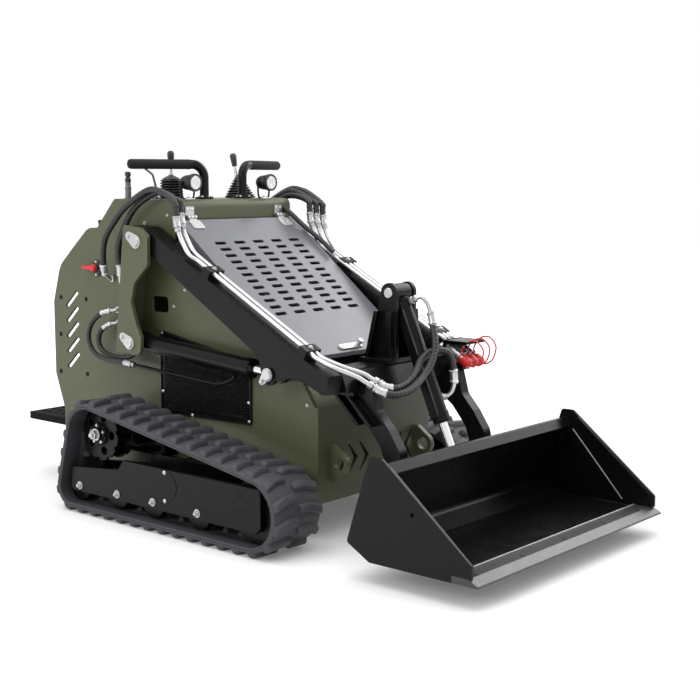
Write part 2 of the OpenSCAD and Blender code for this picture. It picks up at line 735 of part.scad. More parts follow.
// A round tube swept along hand-picked points, smoothed between them
function spline(a, b, c, d, t) =
    0.5 * ((2 * b) + (c - a) * t + (2 * a - 5 * b + 4 * c - d) * t * t
        + (3 * b - a - 3 * c + d) * t * t * t);
function route(p, steps = 3) =
    let(n = len(p) - 1)
    concat([for (i = [0:n - 1], k = [0:steps - 1])
        spline(p[max(i - 1, 0)], p[i], p[i + 1], p[min(i + 2, n)], k / steps)], [p[n]]);
function unit(v) = v / norm(v);
function heading(q, i) = unit(q[min(i + 1, len(q) - 1)] - q[max(i - 1, 0)]);
function across(q, i, side) =
    let(t = heading(q, i)) i == 0 ? unit(cross(t, side)) :
        let(u = across(q, i - 1, side)) unit(u - (u * t) * t);
module tube(points, r, side = [0.1, 1, 0.2], steps = 3, n = 8) {
    q = route(points, steps);
    m = len(q);
    ring = [for (i = [0:m - 1]) let(t = heading(q, i), u = across(q, i, side), v = cross(t, u))
        each [for (k = [0:n - 1]) q[i] + r * (u * cos(360 * k / n) + v * sin(360 * k / n))]];
    faces = concat([[for (k = [n - 1:-1:0]) k]], [[for (k = [0:n - 1]) (m - 1) * n + k]],
        [for (i = [0:m - 2], k = [0:n - 1])
            [i * n + k, i * n + (k + 1) % n, (i + 1) * n + (k + 1) % n, (i + 1) * n + k]]);
    polyhedron(ring, [for (f = faces) [for (k = [len(f) - 1:-1:0]) f[k]]], convexity = 4);
}

tube_r = 8;
hose_r = 10;
// Steel tubes along the top of an arm, on two clamps, each fed by a hose over the pivot
tube_rise = 20;
right_rows = [arm_y + 10, arm_y - 11];
left_rows = [arm_y + 16, arm_y - 4, arm_y - 24];
// Where the tubes of each arm start, and how each one comes down from there to the arm's top
right_starts = [[-175, 900], [-178, 908]];
left_starts = [[-150, 892], [-160, 896], [-170, 900]];
tube_drop = [[0, 0], [1.5, -15], [3, -30], [12, -60], [28, -88], [53, -119]];
clamp_places = [arm_front_x - 470, arm_front_x - 100];
// The tubes' ends past the arm, from its front top corner: x, y, y per row, z, z per row
right_end = [[0, 8, 10, 22, 0], [48, 40, 4, 0, 6], [66, 52, 3, -13, 7], [84, 64, 2, -26, 8]];
left_end = [[-30, 24, 5, 37, 0], [-18, 48, 10, 32, 0], [-10, 48, 10, 32, 0], [-2.5, 48, 10, 32, 0]];
clamp_len = 30;
clamp_w = 58;
clamp_h = 26;
straight_run = [clamp_places[0] - 45, clamp_places[0] - 20, (clamp_places[0] + clamp_places[1]) / 2,
    clamp_places[1] - 30, clamp_places[1] + 20, clamp_places[1] + 45];
function arm_tube(y, i, start, end) = concat(
    [for (p = tube_drop) [start[0] + p[0], -y, start[1] + p[1]]],
    [for (x = straight_run) [x, -y, beam_top(x) + tube_rise]],
    [for (p = end) [arm_front_x + p[0], p[1] - y + p[2] * i, arm_front_top + p[3] + p[4] * i]]);
module arm_tubes(rows, starts, end) {
    color(zinc) for (i = [0:len(rows) - 1]) tube(arm_tube(rows[i], i, starts[i], end), tube_r, steps = 2);
}
module arm_tubes_right() arm_tubes(right_rows, right_starts, right_end);
module arm_tubes_left() left_of() arm_tubes(left_rows, left_starts, left_end);

// Auxiliary couplers with dust caps on a bracket at the left end of the cross member
coupler_x = arm_front_x + 10;
coupler_z = arm_front_top + 32;
coupler_plate_t = 12;
coupler_cap = 26;
coupler_y = [200, 230, 260];
coupler_r = 11;
coupler_len = 62;
coupler_fall = 33;
module coupler_block() {
    color(black) {
        block(coupler_x - coupler_plate_t, coupler_x, coupler_y[0] - 14, coupler_y[2] + 14,
            cross_top_z, coupler_z + 20);
        block(coupler_x - coupler_plate_t, coupler_x + 74, coupler_y[0] - 14, coupler_y[2] + 14,
            coupler_z + 12, coupler_z + 20);
    }
    for (y = coupler_y) aim(coupler_x, y, coupler_z, -coupler_fall) {
        color(zinc) rod_x_axis(coupler_r, -2, coupler_len);
        color(red) rod_x_axis(coupler_r + 4, coupler_len, coupler_len + coupler_cap);
    }
}

// The bucket: a folded shell between two side plates, with a bar along its top
floor_t = 12;
back_lean = atan2(bucket_top_x - bucket_back_x, bucket_top_z - bucket_back_z);
edge_len = 75;
edge_t = 18;
edge_bevel = 28;
edge_nose = 5;
edge_bolts = 5;
edge_bolt_pitch = 200;
// The lip along the top of the back, under the sides' top corners
lip_z = bucket_top_z - 24;
lip_x = bucket_back_x + (lip_z - bucket_back_z) * tan(back_lean);
lip_t = 10;
lip_run = 16;
lip_drop = 24;
side_low_x = edge_x - 18;
side_nose_z = 107;
side_hole = [812, 200, 6];
doubler_w = 66;
doubler_t = 6;
edge_back_x = edge_x - edge_len;
module bucket_side(y0, y1) {
    difference() {
        side_plate([[bucket_back_x, bucket_back_z, 10], [bucket_top_x - 14, bucket_top_z, 8],
            [bucket_top_x + 24, bucket_top_z, 10], [side_low_x, side_nose_z, 6],
            [side_low_x, floor_z + edge_t], [edge_back_x, floor_z + edge_t], [edge_back_x, floor_z],
            [heel_x, floor_z]], y0, y1);
        bar_y(side_hole[0], side_hole[1], side_hole[2], y0 - cut, y1 + cut);
    }
}
module side_doubler(y0, y1) {
    slope = unit([side_low_x - bucket_top_x - 24, side_nose_z - bucket_top_z]);
    inner = doubler_w * [-slope[1], slope[0]];
    side_plate([[bucket_top_x + 44, bucket_top_z - 18],
        [side_low_x - 4, side_nose_z - 2], [side_low_x - 4, floor_z + edge_t + cut],
        [edge_back_x - cut, floor_z + edge_t + cut],
        [edge_back_x - 12, floor_z + floor_t - cut], [side_low_x - doubler_w - 26, floor_z + floor_t - cut],
        [bucket_top_x + 34 - inner[0], bucket_top_z - 58]], y0, y1);
}
module bucket() {
    wide = bucket_half - bucket_t;
    color(black) {
        bucket_side(-bucket_half, -wide);
        bucket_side(wide, bucket_half);
        side_doubler(-wide - cut, -wide + doubler_t);
        side_doubler(wide - doubler_t, wide + cut);
        side_plate([[bucket_back_x, bucket_back_z, 10], [lip_x, lip_z], [lip_x + lip_t, lip_z],
            [lip_x + lip_t + lip_run, lip_z - lip_drop], [lip_x + lip_t + lip_run - 6, lip_z - lip_drop - 6],
            [lip_x, lip_z - lip_drop - 8], [bucket_back_x + 16, bucket_back_z + 6, 16],
            [heel_x + 4, floor_z + floor_t, 20], [edge_back_x, floor_z + floor_t],
            [edge_back_x, floor_z], [heel_x, floor_z]], -wide - cut, wide + cut);
    }
}
module cutting_edge() {
    bolt_r = 9;
    color(charcoal) {
        side_plate([[edge_back_x, floor_z], [edge_back_x, floor_z + edge_t],
            [edge_x - edge_bevel, floor_z + edge_t], [edge_x, floor_z + edge_nose], [edge_x, floor_z]],
            -bucket_half, bucket_half);
        for (i = [0:edge_bolts - 1])
            translate([edge_back_x + edge_len / 2, (i - (edge_bolts - 1) / 2) * edge_bolt_pitch, floor_z + 1])
                cylinder(r = bolt_r, h = edge_t + 1);
    }
}
// Ears on the bucket's back for the legs and for the tilt rod
ear_plate_t = 10;
ear_clear = 4;
tilt_ear_gap = 48;
module bracket_ear(y) {
    lean = tan(back_lean);
    bar_y(tip_x, tip_z, 28, y, y + ear_plate_t);
    side_plate([[tip_x - 12, tip_z - 25], [tip_x + 8, tip_z - 28],
        [bucket_back_x + (tip_z - 50 - bucket_back_z) * lean, tip_z - 50],
        [bucket_back_x + (tip_z + 70 - bucket_back_z) * lean, tip_z + 70], [tip_x - 6, tip_z + 26]],
        y, y + ear_plate_t);
}
module tilt_ear(y) {
    lean = tan(back_lean);
    bar_y(tilt_rod_x, tilt_rod_z, 26, y, y + ear_plate_t);
    side_plate([[tilt_rod_x - 10, tilt_rod_z - 24],
        [bucket_back_x + (tilt_rod_z - 60 - bucket_back_z) * lean, tilt_rod_z - 60],
        [bucket_back_x + (tilt_rod_z + 40 - bucket_back_z) * lean, tilt_rod_z + 40],
        [tilt_rod_x, tilt_rod_z + 26]], y, y + ear_plate_t);
}
module bucket_bracket() {
    inner = leg_y - leg_w / 2 - ear_clear;
    outer = leg_y + leg_w / 2 + ear_clear;
    color(black) for (side = [0, 1]) mirror([0, side, 0]) {
        bracket_ear(-outer - ear_plate_t);
        bracket_ear(-inner);
        bar_y(tip_x, tip_z, pin_r - 4, -outer - ear_plate_t - 6, -inner + ear_plate_t + 6);
        tilt_ear(-tilt_ear_gap / 2 - ear_plate_t);
    }
}

// The hood: a sloped plate with rows of slots, side skirts and a folded front lip
hood_t = 5;
hood_half = wall_half;
skirt_gap = 6;
slot_first = 118;
slot_pitch_x = 28.5;
slot_pitch_y = 79.5;
slot_len = 46;
slot_w = 13;
hinge_drop = 4;
hood_fall = atan2(hinge_z - hinge_drop - hood_z, hood_x - hinge_x);
hood_back_x = hinge_x + 4;
hood_back_z = hood_z + (hood_x - hood_back_x) * tan(hood_fall);
function wall_top(x) = notch_z + (x - console_x) * (nose_z - notch_z) / (nose_x - console_x);
module hood() {
    drop = hood_t / cos(hood_fall);
    lip = 12;
    color(charcoal) difference() {
        union() {
            side_plate([[hood_back_x, hood_back_z], [hood_x, hood_z], [hood_x, hood_z - lip],
                [hood_x - hood_t, hood_z - lip], [hood_x - hood_t, hood_z - drop],
                [hood_back_x, hood_back_z - drop]], -hood_half, hood_half);
            for (y = [-hood_half, hood_half - hood_t])
                side_plate([[hood_back_x, hood_back_z - 1], [hood_x, hood_z - 1],
                    [hood_x, wall_top(hood_x) + skirt_gap],
                    [hood_back_x, wall_top(hood_back_x) + skirt_gap]], y, y + hood_t);
        }
        for (row = [0:slot_rows - 1], column = [0:slot_columns - 1])
            translate([hinge_x, (column - (slot_columns - 1) / 2) * slot_pitch_y, hinge_z])
                rotate([0, hood_fall, 0]) translate([slot_first + row * slot_pitch_x, 0, 0])
                    linear_extrude(60, center = true) {
                        square([slot_w, slot_len - slot_w], center = true);
                        for (end = [-1, 1])
                            translate([0, end * (slot_len - slot_w) / 2]) circle(r = slot_w / 2);
                    }
    }
}
// The zinc hardware of the hood: a latch, and hinges whose pins the console carries
hinge_y = 191;
hinge_w = 34;
hinge_pin_r = 3.5;
hinge_r = 6.5;
leaf_t = 3;
leaf_len = 46;
knuckle_w = 20;
knuckle_end = (hinge_w - knuckle_w) / 2 - seat_gap;
latch_x = 218;
latch_w = 104;
module on_hood(x) {
    translate([hinge_x, 0, hinge_z - hinge_drop]) rotate([0, hood_fall, 0])
        translate([(x - hinge_x) / cos(hood_fall), 0, 0]) children();
}
module hood_leaf() {
    difference() {
        union() {
            bar_y(hinge_x, hinge_z, hinge_r, -hinge_y - knuckle_w / 2, -hinge_y + knuckle_w / 2);
            on_hood(hinge_x + hinge_r) translate([0, -hinge_y - hinge_w / 2, 0])
                cube([leaf_len, hinge_w, leaf_t]);
            on_hood(hinge_x) translate([0, -hinge_y - knuckle_w / 2, 0])
                cube([leaf_len / 2, knuckle_w, leaf_t]);
        }
        bar_y(hinge_x, hinge_z, hinge_pin_r + bore_gap, -hinge_y - hinge_w, -hinge_y + hinge_w);
    }
}
module hood_hardware() {
    color(zinc) {
        on_hood(latch_x) {
            translate([-14, -latch_w / 2, 0]) cube([28, latch_w, 4]);
            translate([0, latch_w / 3, 0]) cylinder(r = 12, h = 16);
        }
        hood_leaf();
        left_of() hood_leaf();
    }
}
module console_leaf() {
    block(console_x, console_x + leaf_t, -hinge_y - hinge_w / 2, -hinge_y + hinge_w / 2,
        hinge_z, hinge_z + leaf_len - 14);
    bar_y(hinge_x, hinge_z, hinge_pin_r, -hinge_y - hinge_w / 2, -hinge_y + hinge_w / 2);
    for (y = [-hinge_y - hinge_w / 2, -hinge_y + knuckle_w / 2 + seat_gap]) {
        bar_y(hinge_x, hinge_z, hinge_r, y, y + knuckle_end);
        block(console_x, hinge_x, y, y + knuckle_end, hinge_z, hinge_z + leaf_t);
    }
}
module hood_hinges() {
    color(zinc) {
        console_leaf();
        left_of() console_leaf();
    }
}

// A lift cylinder, modelled along +X from its foot and turned to its rod's eye
ram_len = norm([rod_x - ram_x, rod_z - ram_z]);
ram_turn = atan2(rod_z - ram_z, rod_x - ram_x);
barrel_len = ram_len - 88;
gland_len = 24;
foot_r = 28;
eye_w = 30;
foot_w = 44;
ram_wall = 5;
rod_start = 60;
module lift_barrel() {
    color(black) aim(ram_x, -arm_y, ram_z, ram_turn) difference() {
        union() {
            bar_y(0, 0, foot_r, -foot_w / 2, foot_w / 2);
            rod_x_axis(ram_d / 2, foot_r - 4, barrel_len);
            rod_x_axis(ram_d / 2 - 6, 0, foot_r);
        }
        bar_y(0, 0, pin_r + bore_gap, -foot_w, foot_w);
        rod_x_axis(ram_d / 2 - ram_wall, rod_start - 20, barrel_len - gland_len);
        rod_x_axis(ram_rod_d / 2 + bore_gap, barrel_len - gland_len - cut, barrel_len + cut);
    }
}
module lift_rod() {
    color(zinc) aim(ram_x, -arm_y, ram_z, ram_turn) difference() {
        union() {
            rod_x_axis(ram_rod_d / 2, rod_start, ram_len - 10);
            bar_y(ram_len, 0, foot_r - 3, -eye_w / 2, eye_w / 2);
        }
        bar_y(ram_len, 0, pin_r - 4, -eye_w, eye_w);
    }
}
module lift_barrel_right() lift_barrel();
module lift_barrel_left() left_of() lift_barrel();
module lift_rod_right() lift_rod();
module lift_rod_left() left_of() lift_rod();

// The tilt cylinder, from the tower's pin down to the bucket
tilt_len = norm([tilt_rod_x - tower_x, tilt_rod_z - tower_z]);
tilt_turn = atan2(tilt_rod_z - tower_z, tilt_rod_x - tower_x);
tilt_barrel_len = tilt_len - 95;
tilt_d = 46;
tilt_bar_x = 34;
tilt_bar_end = 16;
tilt_bar_out = 5;
tilt_bar_w = 26;
tilt_rod_d = 26;
module tilt_barrel() {
    head_w = tower_gap - 8;
    color(black) aim(tower_x, 0, tower_z, tilt_turn) difference() {
        union() {
            bar_y(0, 0, tower_eye_r - 3, -head_w / 2, head_w / 2);
            rod_x_axis(tilt_d / 2, tower_eye_r - 6, tilt_barrel_len);
            rod_x_axis(tilt_d / 2 - 6, 0, tower_eye_r);
            block(tilt_bar_x, tilt_barrel_len - tilt_bar_end, -tilt_d / 2 - tilt_bar_out,
                -tilt_d / 2 + tilt_bar_out, -tilt_bar_w / 2, tilt_bar_w / 2);
        }
        bar_y(0, 0, tower_pin_r + bore_gap, -head_w, head_w);
        rod_x_axis(tilt_d / 2 - ram_wall, rod_start, tilt_barrel_len - gland_len);
        rod_x_axis(tilt_rod_d / 2 + bore_gap, tilt_barrel_len - gland_len - cut, tilt_barrel_len + cut);
    }
}
module tilt_rod() {
    head_w = tilt_ear_gap - 8;
    color(zinc) aim(tower_x, 0, tower_z, tilt_turn) difference() {
        union() {
            rod_x_axis(tilt_rod_d / 2, rod_start + 100, tilt_len - 10);
            bar_y(tilt_len, 0, 24, -head_w / 2, head_w / 2);
        }
        bar_y(tilt_len, 0, pin_r - 4, -head_w, head_w);
    }
}

// The step that the driver stands on, between the walls
platform_t = 5;
platform_flange = 24;
platform_toe = 50;
grip_r = 9;
grip_first = 26;
grip_pitch = [34, 40];
grip_count = [floor((bulkhead_x - platform_x - 2 * grip_first) / grip_pitch[0]) + 1,
    2 * floor((platform_half - grip_first) / grip_pitch[1]) + 1];
module platform() {
    color(black) {
        difference() {
            block(platform_x, bulkhead_x, -platform_half, platform_half, platform_z - platform_t, platform_z);
            for (i = [0:grip_count[0] - 1], j = [0:grip_count[1] - 1])
                translate([platform_x + grip_first + i * grip_pitch[0],
                    (j - (grip_count[1] - 1) / 2) * grip_pitch[1], platform_z - 2 * platform_t])
                    cylinder(r = grip_r, h = 3 * platform_t);
        }
        for (y = [-platform_half, platform_half - platform_t])
            block(platform_x, bulkhead_x, y, y + platform_t, platform_z - platform_flange, platform_z);
        block(platform_x, platform_x + platform_t, -platform_half, platform_half,
            platform_z - platform_flange, platform_z);
        block(bulkhead_x - platform_t, bulkhead_x, -platform_half, platform_half,
            platform_z - platform_toe, platform_z);
    }
}

// Grab bars: a post on the console, a bend and a grip that runs outward and back
bar_post_x = console_x - 50;
bar_post_y = 82;
bar_z = console_z + 105;
bar_tube_r = 14;
bar_bend = 40;
bar_reach = 235;
bar_sweep = 17;
module grab_bar() {
    color(black) translate([bar_post_x, -bar_post_y, console_z]) rotate([0, 0, -bar_sweep]) {
        rise = bar_z - console_z - bar_bend;
        cylinder(r = bar_tube_r + 14, h = 6);
        cylinder(r = bar_tube_r, h = rise);
        translate([0, -bar_bend, rise]) rotate([0, 90, 0]) rotate([0, 0, 90])
            rotate_extrude(angle = 90) translate([bar_bend, 0]) circle(r = bar_tube_r);
        translate([0, -bar_bend, rise + bar_bend]) rotate([90, 0, 0])
            cylinder(r = bar_tube_r, h = bar_reach - bar_bend);
        translate([0, -bar_reach, rise + bar_bend]) sphere(r = bar_tube_r);
    }
}
module grab_bar_right() grab_bar();
module grab_bar_left() left_of() grab_bar();

// Joysticks with ribbed boots
stick_x = console_x - 128;
stick_y = 147;
boot_r = 48;
boot_top_r = 33;
boot_h = 62;
boot_ribs = 5;
stick_h = 149;
knob_r = 10;
knob_h = 38;
module joystick(lean) {
    color(black) for (i = [0:boot_ribs - 1]) {
        r = boot_r + (boot_top_r - boot_r) * i / (boot_ribs - 1);
        translate([0, 0, i * boot_h / boot_ribs]) {
            cylinder(r = r, h = boot_h / boot_ribs * 0.6);
            cylinder(r = r - 7, h = boot_h / boot_ribs + 1);
        }
    }
    translate([0, 0, boot_h - 12]) rotate([0, lean, 0]) {
        color(zinc) cylinder(r = 5, h = stick_h - boot_h - knob_h + 14);
        color(black) translate([0, 0, stick_h - boot_h - knob_h + 12]) cylinder(r = knob_r, h = knob_h);
    }
}
module joystick_right() translate([stick_x, -stick_y, console_z]) joystick(0);
module joystick_left() translate([stick_x, stick_y, console_z]) joystick(-12);

// Work lamps on brackets at the console's front edge
lamp_x = console_x;
lamp_y = 163;
lamp_z = console_z + 50;
lamp_r = 26;
lamp_len = 56;
module lamp() {
    color(black) translate([lamp_x - lamp_len, -lamp_y, lamp_z]) rod_x_axis(lamp_r, 0, lamp_len);
    color(zinc) block(lamp_x - 44, lamp_x - 22, -lamp_y - 20, -lamp_y + 20, console_z, lamp_z - lamp_r + 4);
}
module lamp_right() lamp();
module lamp_left() left_of() lamp();

throttle_x = console_back_x + 40;
throttle_y = inner_y - 15;
throttle_r = 7;
throttle_h = 50;
module throttle_lever() {
    color(black) translate([throttle_x, -throttle_y, console_z]) {
        cylinder(r = throttle_r + 3, h = 8);
        cylinder(r = throttle_r, h = throttle_h);
        translate([0, 0, throttle_h - 2]) cylinder(r = throttle_r + 2, h = 28);
    }
}

switch_x = -621;
switch_z = 721;
module battery_switch() {
    color(black) bar_y(switch_x, switch_z, 26, -wall_half - 8, -wall_half);
    color(red) {
        bar_y(switch_x, switch_z, 12, -wall_half - 24, -wall_half - 8);
        block(switch_x - 66, switch_x + 6, -wall_half - 24, -wall_half - 14, switch_z - 8, switch_z + 8);
    }
}

// Hoses from the walls over the pivots to the arms' steel tubes
hose_seat = 0.5;
hose_foot = [lift_x - 223, lift_z - 123];
hose_feet = [[0, 0], [54, -8], [89, -22]];
// The arch of each hose over the lift pivot, from the pivot
hose_arch = [[[-193, -3], [-133, 67], [-77, 109], [15, 151], [73, 147], [113, 131]],
    [[-153, -23], [-117, 47], [-65, 103], [21, 143], [75, 139], [111, 125]],
    [[-119, -43], [-93, 25], [-49, 79], [25, 125], [75, 131], [115, 123]]];
// A hose leaves the wall square, so that its end lies flat on it
function from_wall(x, z) = [for (out = [hose_seat, 6, 12]) [x, -wall_half - out, z]];
function arm_hose(y, i, end) =
    let(b = hose_foot + hose_feet[i])
    concat(from_wall(b[0], b[1]), [[b[0] + 8, min(12 - y, -wall_half - 14), b[1] + 34]],
     [for (p = hose_arch[i]) [lift_x + p[0], -y, lift_z + p[1]]],
     [for (up = [24, 12, 0]) [end[0] - up / 10, -y, end[1] + hose_seat + up]]);
loom_r = 8;
// The loom leaves the console's face square and crosses the hood's corner to the left arm
loom_y = -219;
loom_z = console_z - 37;
loom = concat([for (out = [hose_seat, 6, 12]) [console_x + out, loom_y, loom_z]],
    [[-205, -222, 884], [-168, -235, 850], [-130, -248, 820], [-96, -256, 794], [-62, -258, 768]]);
module arm_hoses(rows, ends) {
    color(rubber) for (i = [0:len(rows) - 1]) tube(arm_hose(rows[i], i, ends[i]), hose_r);
}
module arm_hoses_right() arm_hoses(right_rows, right_starts);
module arm_hoses_left() left_of() {
    arm_hoses(left_rows, left_starts);
    color(rubber) tube(loom, loom_r);
}

// Hoses from the walls to the lift cylinders: one on a pipe under the barrel, one to its foot
pipe_y = -8;
// The run under the barrel, as x and z along it
pipe_path = [[-62, -76], [-30, -75.5], [150, -72.4], [300, -69.8], [345, -67], [380, -56], [402, -44],
    [408, -38], [413.8, -32.2]];
function by_barrel(p) = [ram_x + p[0] * cos(ram_turn) - p[1] * sin(ram_turn), pipe_y - arm_y,
    ram_z + p[0] * sin(ram_turn) + p[1] * cos(ram_turn)];
ram_hose_r = 8;
ram_hose_low = concat(from_wall(-509, 592), [[-540, -290, 582], [-578, -302, 548], [-592, -304, 500],
    [-566, -304, 458], [-508, -302, 441], [-460, -300, 440]], [for (p = pipe_path) by_barrel(p)]);
ram_hose_foot = concat(from_wall(-505, 552), [[-528, -282, 544], [-560, -286, 515], [-560, -286, 478],
    [-528, -284, 455], [-470, -284, 450], [-418, -286, 455], [-388, -289, 472], [-372.4, -290, 491.1]]);
module ram_hoses() {
    color(rubber) {
        tube(ram_hose_low, ram_hose_r);
        tube(ram_hose_foot, ram_hose_r);
    }
}
module ram_hoses_right() ram_hoses();
module ram_hoses_left() left_of() ram_hoses();

// Hoses from the right arm's tubes to the two ports of the tilt cylinder
tilt_hose_top = [[514.4, -237.8, 453.6], [521.6, -232.9, 448.4], [528.9, -228, 443.2],
    [556, -205, 432], [568, -165, 436], [566, -118, 450], [558, -74, 470], [554, -39, 496],
    [548, -14, 526], [538, 2, 557], [523, 13, 589], [512, 20, 622], [498, 18, 656], [482, 12, 672],
    [466, 8, 668], [456.8, 8, 663.8], [447.6, 8, 659.7]];
tilt_hose_low = [[514.4, -214.8, 461.6], [522, -210.1, 456.6], [529.5, -205.5, 451.6],
    [546, -180, 446], [546, -130, 456], [538, -84, 478], [524, -42, 506], [524, 0, 523],
    [542, 39, 524], [550, 58, 506], [554, 66, 470], [556, 68, 434], [552, 62, 408], [544, 52, 395],
    [540, 43.5, 392.5], [540, 33.5, 392.5], [540, 23.6, 392.5]];
module tilt_hoses() {
    color(rubber) {
        tube(tilt_hose_top, hose_r);
        tube(tilt_hose_low, hose_r);
    }
}

right_wall();
left_wall();
front_plate();
belly_pan();
rear_cover();
console();
engine();
radiator_grille();
ear_right();
ear_left();
pivot_pins_right();
pivot_pins_left();
track_right();
track_left();
track_frame_right();
track_frame_left();
rollers_right();
rollers_left();
final_drive_right();
final_drive_left();
platform();
grab_bar_right();
grab_bar_left();
joystick_right();
joystick_left();
lamp_right();
lamp_left();
throttle_lever();
battery_switch();
arm_right();
arm_left();
cross_member();
leg_right();
leg_left();
tilt_tower();
tower_pin();
arm_tubes_right();
arm_tubes_left();
coupler_block();
bucket();
cutting_edge();
bucket_bracket();
hood();
hood_hardware();
hood_hinges();
lift_barrel_right();
lift_barrel_left();
lift_rod_right();
lift_rod_left();
tilt_barrel();
tilt_rod();
arm_hoses_right();
arm_hoses_left();
ram_hoses_right();
ram_hoses_left();
tilt_hoses();
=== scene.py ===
"""Looks of a tracked stand-on loader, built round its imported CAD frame. Lengths here are millimetres."""

import json
import math

import bpy
from mathutils import Matrix, Vector
from mathutils.bvhtree import BVHTree


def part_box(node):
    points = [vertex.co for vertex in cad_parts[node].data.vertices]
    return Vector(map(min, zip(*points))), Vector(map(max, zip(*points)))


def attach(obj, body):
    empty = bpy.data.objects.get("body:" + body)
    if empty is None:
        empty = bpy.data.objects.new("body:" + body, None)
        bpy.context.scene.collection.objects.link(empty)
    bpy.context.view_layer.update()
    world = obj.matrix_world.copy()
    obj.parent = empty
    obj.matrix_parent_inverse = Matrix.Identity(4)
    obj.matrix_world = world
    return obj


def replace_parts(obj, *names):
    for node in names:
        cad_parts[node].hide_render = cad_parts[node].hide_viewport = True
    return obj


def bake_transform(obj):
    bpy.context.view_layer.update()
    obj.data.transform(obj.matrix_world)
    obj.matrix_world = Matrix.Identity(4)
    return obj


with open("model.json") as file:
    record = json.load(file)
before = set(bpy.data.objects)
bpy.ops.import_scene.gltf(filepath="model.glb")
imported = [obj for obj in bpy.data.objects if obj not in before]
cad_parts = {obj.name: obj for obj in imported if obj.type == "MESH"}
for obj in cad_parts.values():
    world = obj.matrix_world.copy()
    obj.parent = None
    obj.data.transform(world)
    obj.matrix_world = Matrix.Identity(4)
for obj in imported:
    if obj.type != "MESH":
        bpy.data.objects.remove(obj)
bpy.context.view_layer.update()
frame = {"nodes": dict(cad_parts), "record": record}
bpy.context.view_layer.update()
scene = bpy.context.scene
MM = 0.001
X, Y, Z = Vector((1, 0, 0)), Vector((0, 1, 0)), Vector((0, 0, 1))
SIDES = ((-1, "right"), (1, "left"))

# Places in the CAD: faces and middles across the machine, and pins and eyes as x and z
WALL, ARM_Y, OUTSIDE = 249, 292, 700
CONSOLE = 937
LIFT_PIN, RAM_PIN, RAM_EYE = (-311, 813), (-349, 509), (213, 464)
TOWER_PIN, TILT_EYE = Vector((411, 0, 683)), Vector((606, 0, 244))
ARM_FALL = math.radians(27.8)

# The photo's camera, fitted to the machine
camera = bpy.data.objects.new("camera", bpy.data.cameras.new("camera"))
camera.data.lens = 66.24
camera.data.sensor_width = 36
camera.matrix_world = Matrix((
    (0.7590, -0.08487, 0.64555, 2.6524),
    (0.6511, 0.09894, -0.75253, -2.8228),
    (0.0, 0.99149, 0.13035, 0.9926),
    (0, 0, 0, 1)))
scene.collection.objects.link(camera)
scene.camera = camera

# Materials, and the sockets of a Mix node that carry colour
LOOKS = {}
MIX_A, MIX_B, MIX_COLOR = 6, 7, 2


def look(name, color, rough, metal=0.0, vary=0.1, scale=7.0, grain=0.0, grain_scale=600.0, coat=0.0,
         smudge=0.08, shine=0.5, edge=0.0):
    """A procedural finish: slow colour and gloss changes, a fine grain and softly broken edges."""
    made = bpy.data.materials.new(name)
    made.use_nodes = True
    nodes, links = made.node_tree.nodes, made.node_tree.links
    shader = nodes["Principled BSDF"]
    place = nodes.new("ShaderNodeTexCoord")

    def noise(size, detail):
        n = nodes.new("ShaderNodeTexNoise")
        n.inputs["Scale"].default_value = size
        n.inputs["Detail"].default_value = detail
        links.new(place.outputs["Object"], n.inputs["Vector"])
        return n.outputs[0]

    mix = nodes.new("ShaderNodeMix")
    mix.data_type = "RGBA"
    links.new(noise(scale, 6), mix.inputs[0])
    mix.inputs[MIX_A].default_value = [c * (1 - vary) for c in color] + [1]
    mix.inputs[MIX_B].default_value = [min(1, c * (1 + vary)) for c in color] + [1]
    links.new(mix.outputs[MIX_COLOR], shader.inputs["Base Color"])
    gloss = nodes.new("ShaderNodeMapRange")
    links.new(noise(scale * 3, 5), gloss.inputs["Value"])
    gloss.inputs["To Min"].default_value = max(0.02, rough - smudge)
    gloss.inputs["To Max"].default_value = min(1, rough + smudge)
    links.new(gloss.outputs[0], shader.inputs["Roughness"])
    shader.inputs["Metallic"].default_value = metal
    shader.inputs["Specular IOR Level"].default_value = shine
    shader.inputs["Coat Weight"].default_value = coat
    shader.inputs["Coat Roughness"].default_value = 0.12
    if grain:
        bump = nodes.new("ShaderNodeBump")
        bump.inputs["Strength"].default_value = grain
        bump.inputs["Distance"].default_value = 0.0006
        links.new(noise(grain_scale, 2), bump.inputs["Height"])
        links.new(bump.outputs[0], shader.inputs["Normal"])
        if edge:
            broken = nodes.new("ShaderNodeBevel")
            broken.samples = 6
            broken.inputs["Radius"].default_value = edge
            links.new(broken.outputs[0], bump.inputs["Normal"])
    LOOKS[name] = made
    return made


look("olive_paint", (0.083, 0.088, 0.047), 0.42, vary=0.07, grain=0.12, coat=0.08, shine=0.3, edge=0.0025)
look("black_paint", (0.0036, 0.0036, 0.0039), 0.27, vary=0.25, grain=0.04, shine=0.17, edge=0.0028)
look("hood_paint", (0.128, 0.131, 0.147), 0.32, vary=0.06, grain=0.12, edge=0.002)
look("engine_iron", (0.05, 0.05, 0.05), 0.6, metal=0.4, grain=0.4)
look("edge_steel", (0.03, 0.03, 0.033), 0.34, vary=0.2, scale=20, grain=0.2, edge=0.002)
look("zinc", (0.5, 0.505, 0.51), 0.3, metal=0.88, vary=0.04, scale=20, grain=0.05, smudge=0.04)
look("chrome", (0.8, 0.8, 0.82), 0.08, metal=1.0, vary=0.03, smudge=0.04)
look("track_rubber", (0.047, 0.048, 0.053), 0.6, vary=0.25, scale=14, grain=0.5, grain_scale=900, shine=0.4)
look("hose_rubber", (0.008, 0.008, 0.009), 0.45, vary=0.2, scale=30, grain=0.3)
look("black_plastic", (0.009, 0.009, 0.01), 0.4, vary=0.12, scale=30, grain=0.3)
look("red_plastic", (0.6, 0.018, 0.02), 0.35, scale=30, grain=0.1)
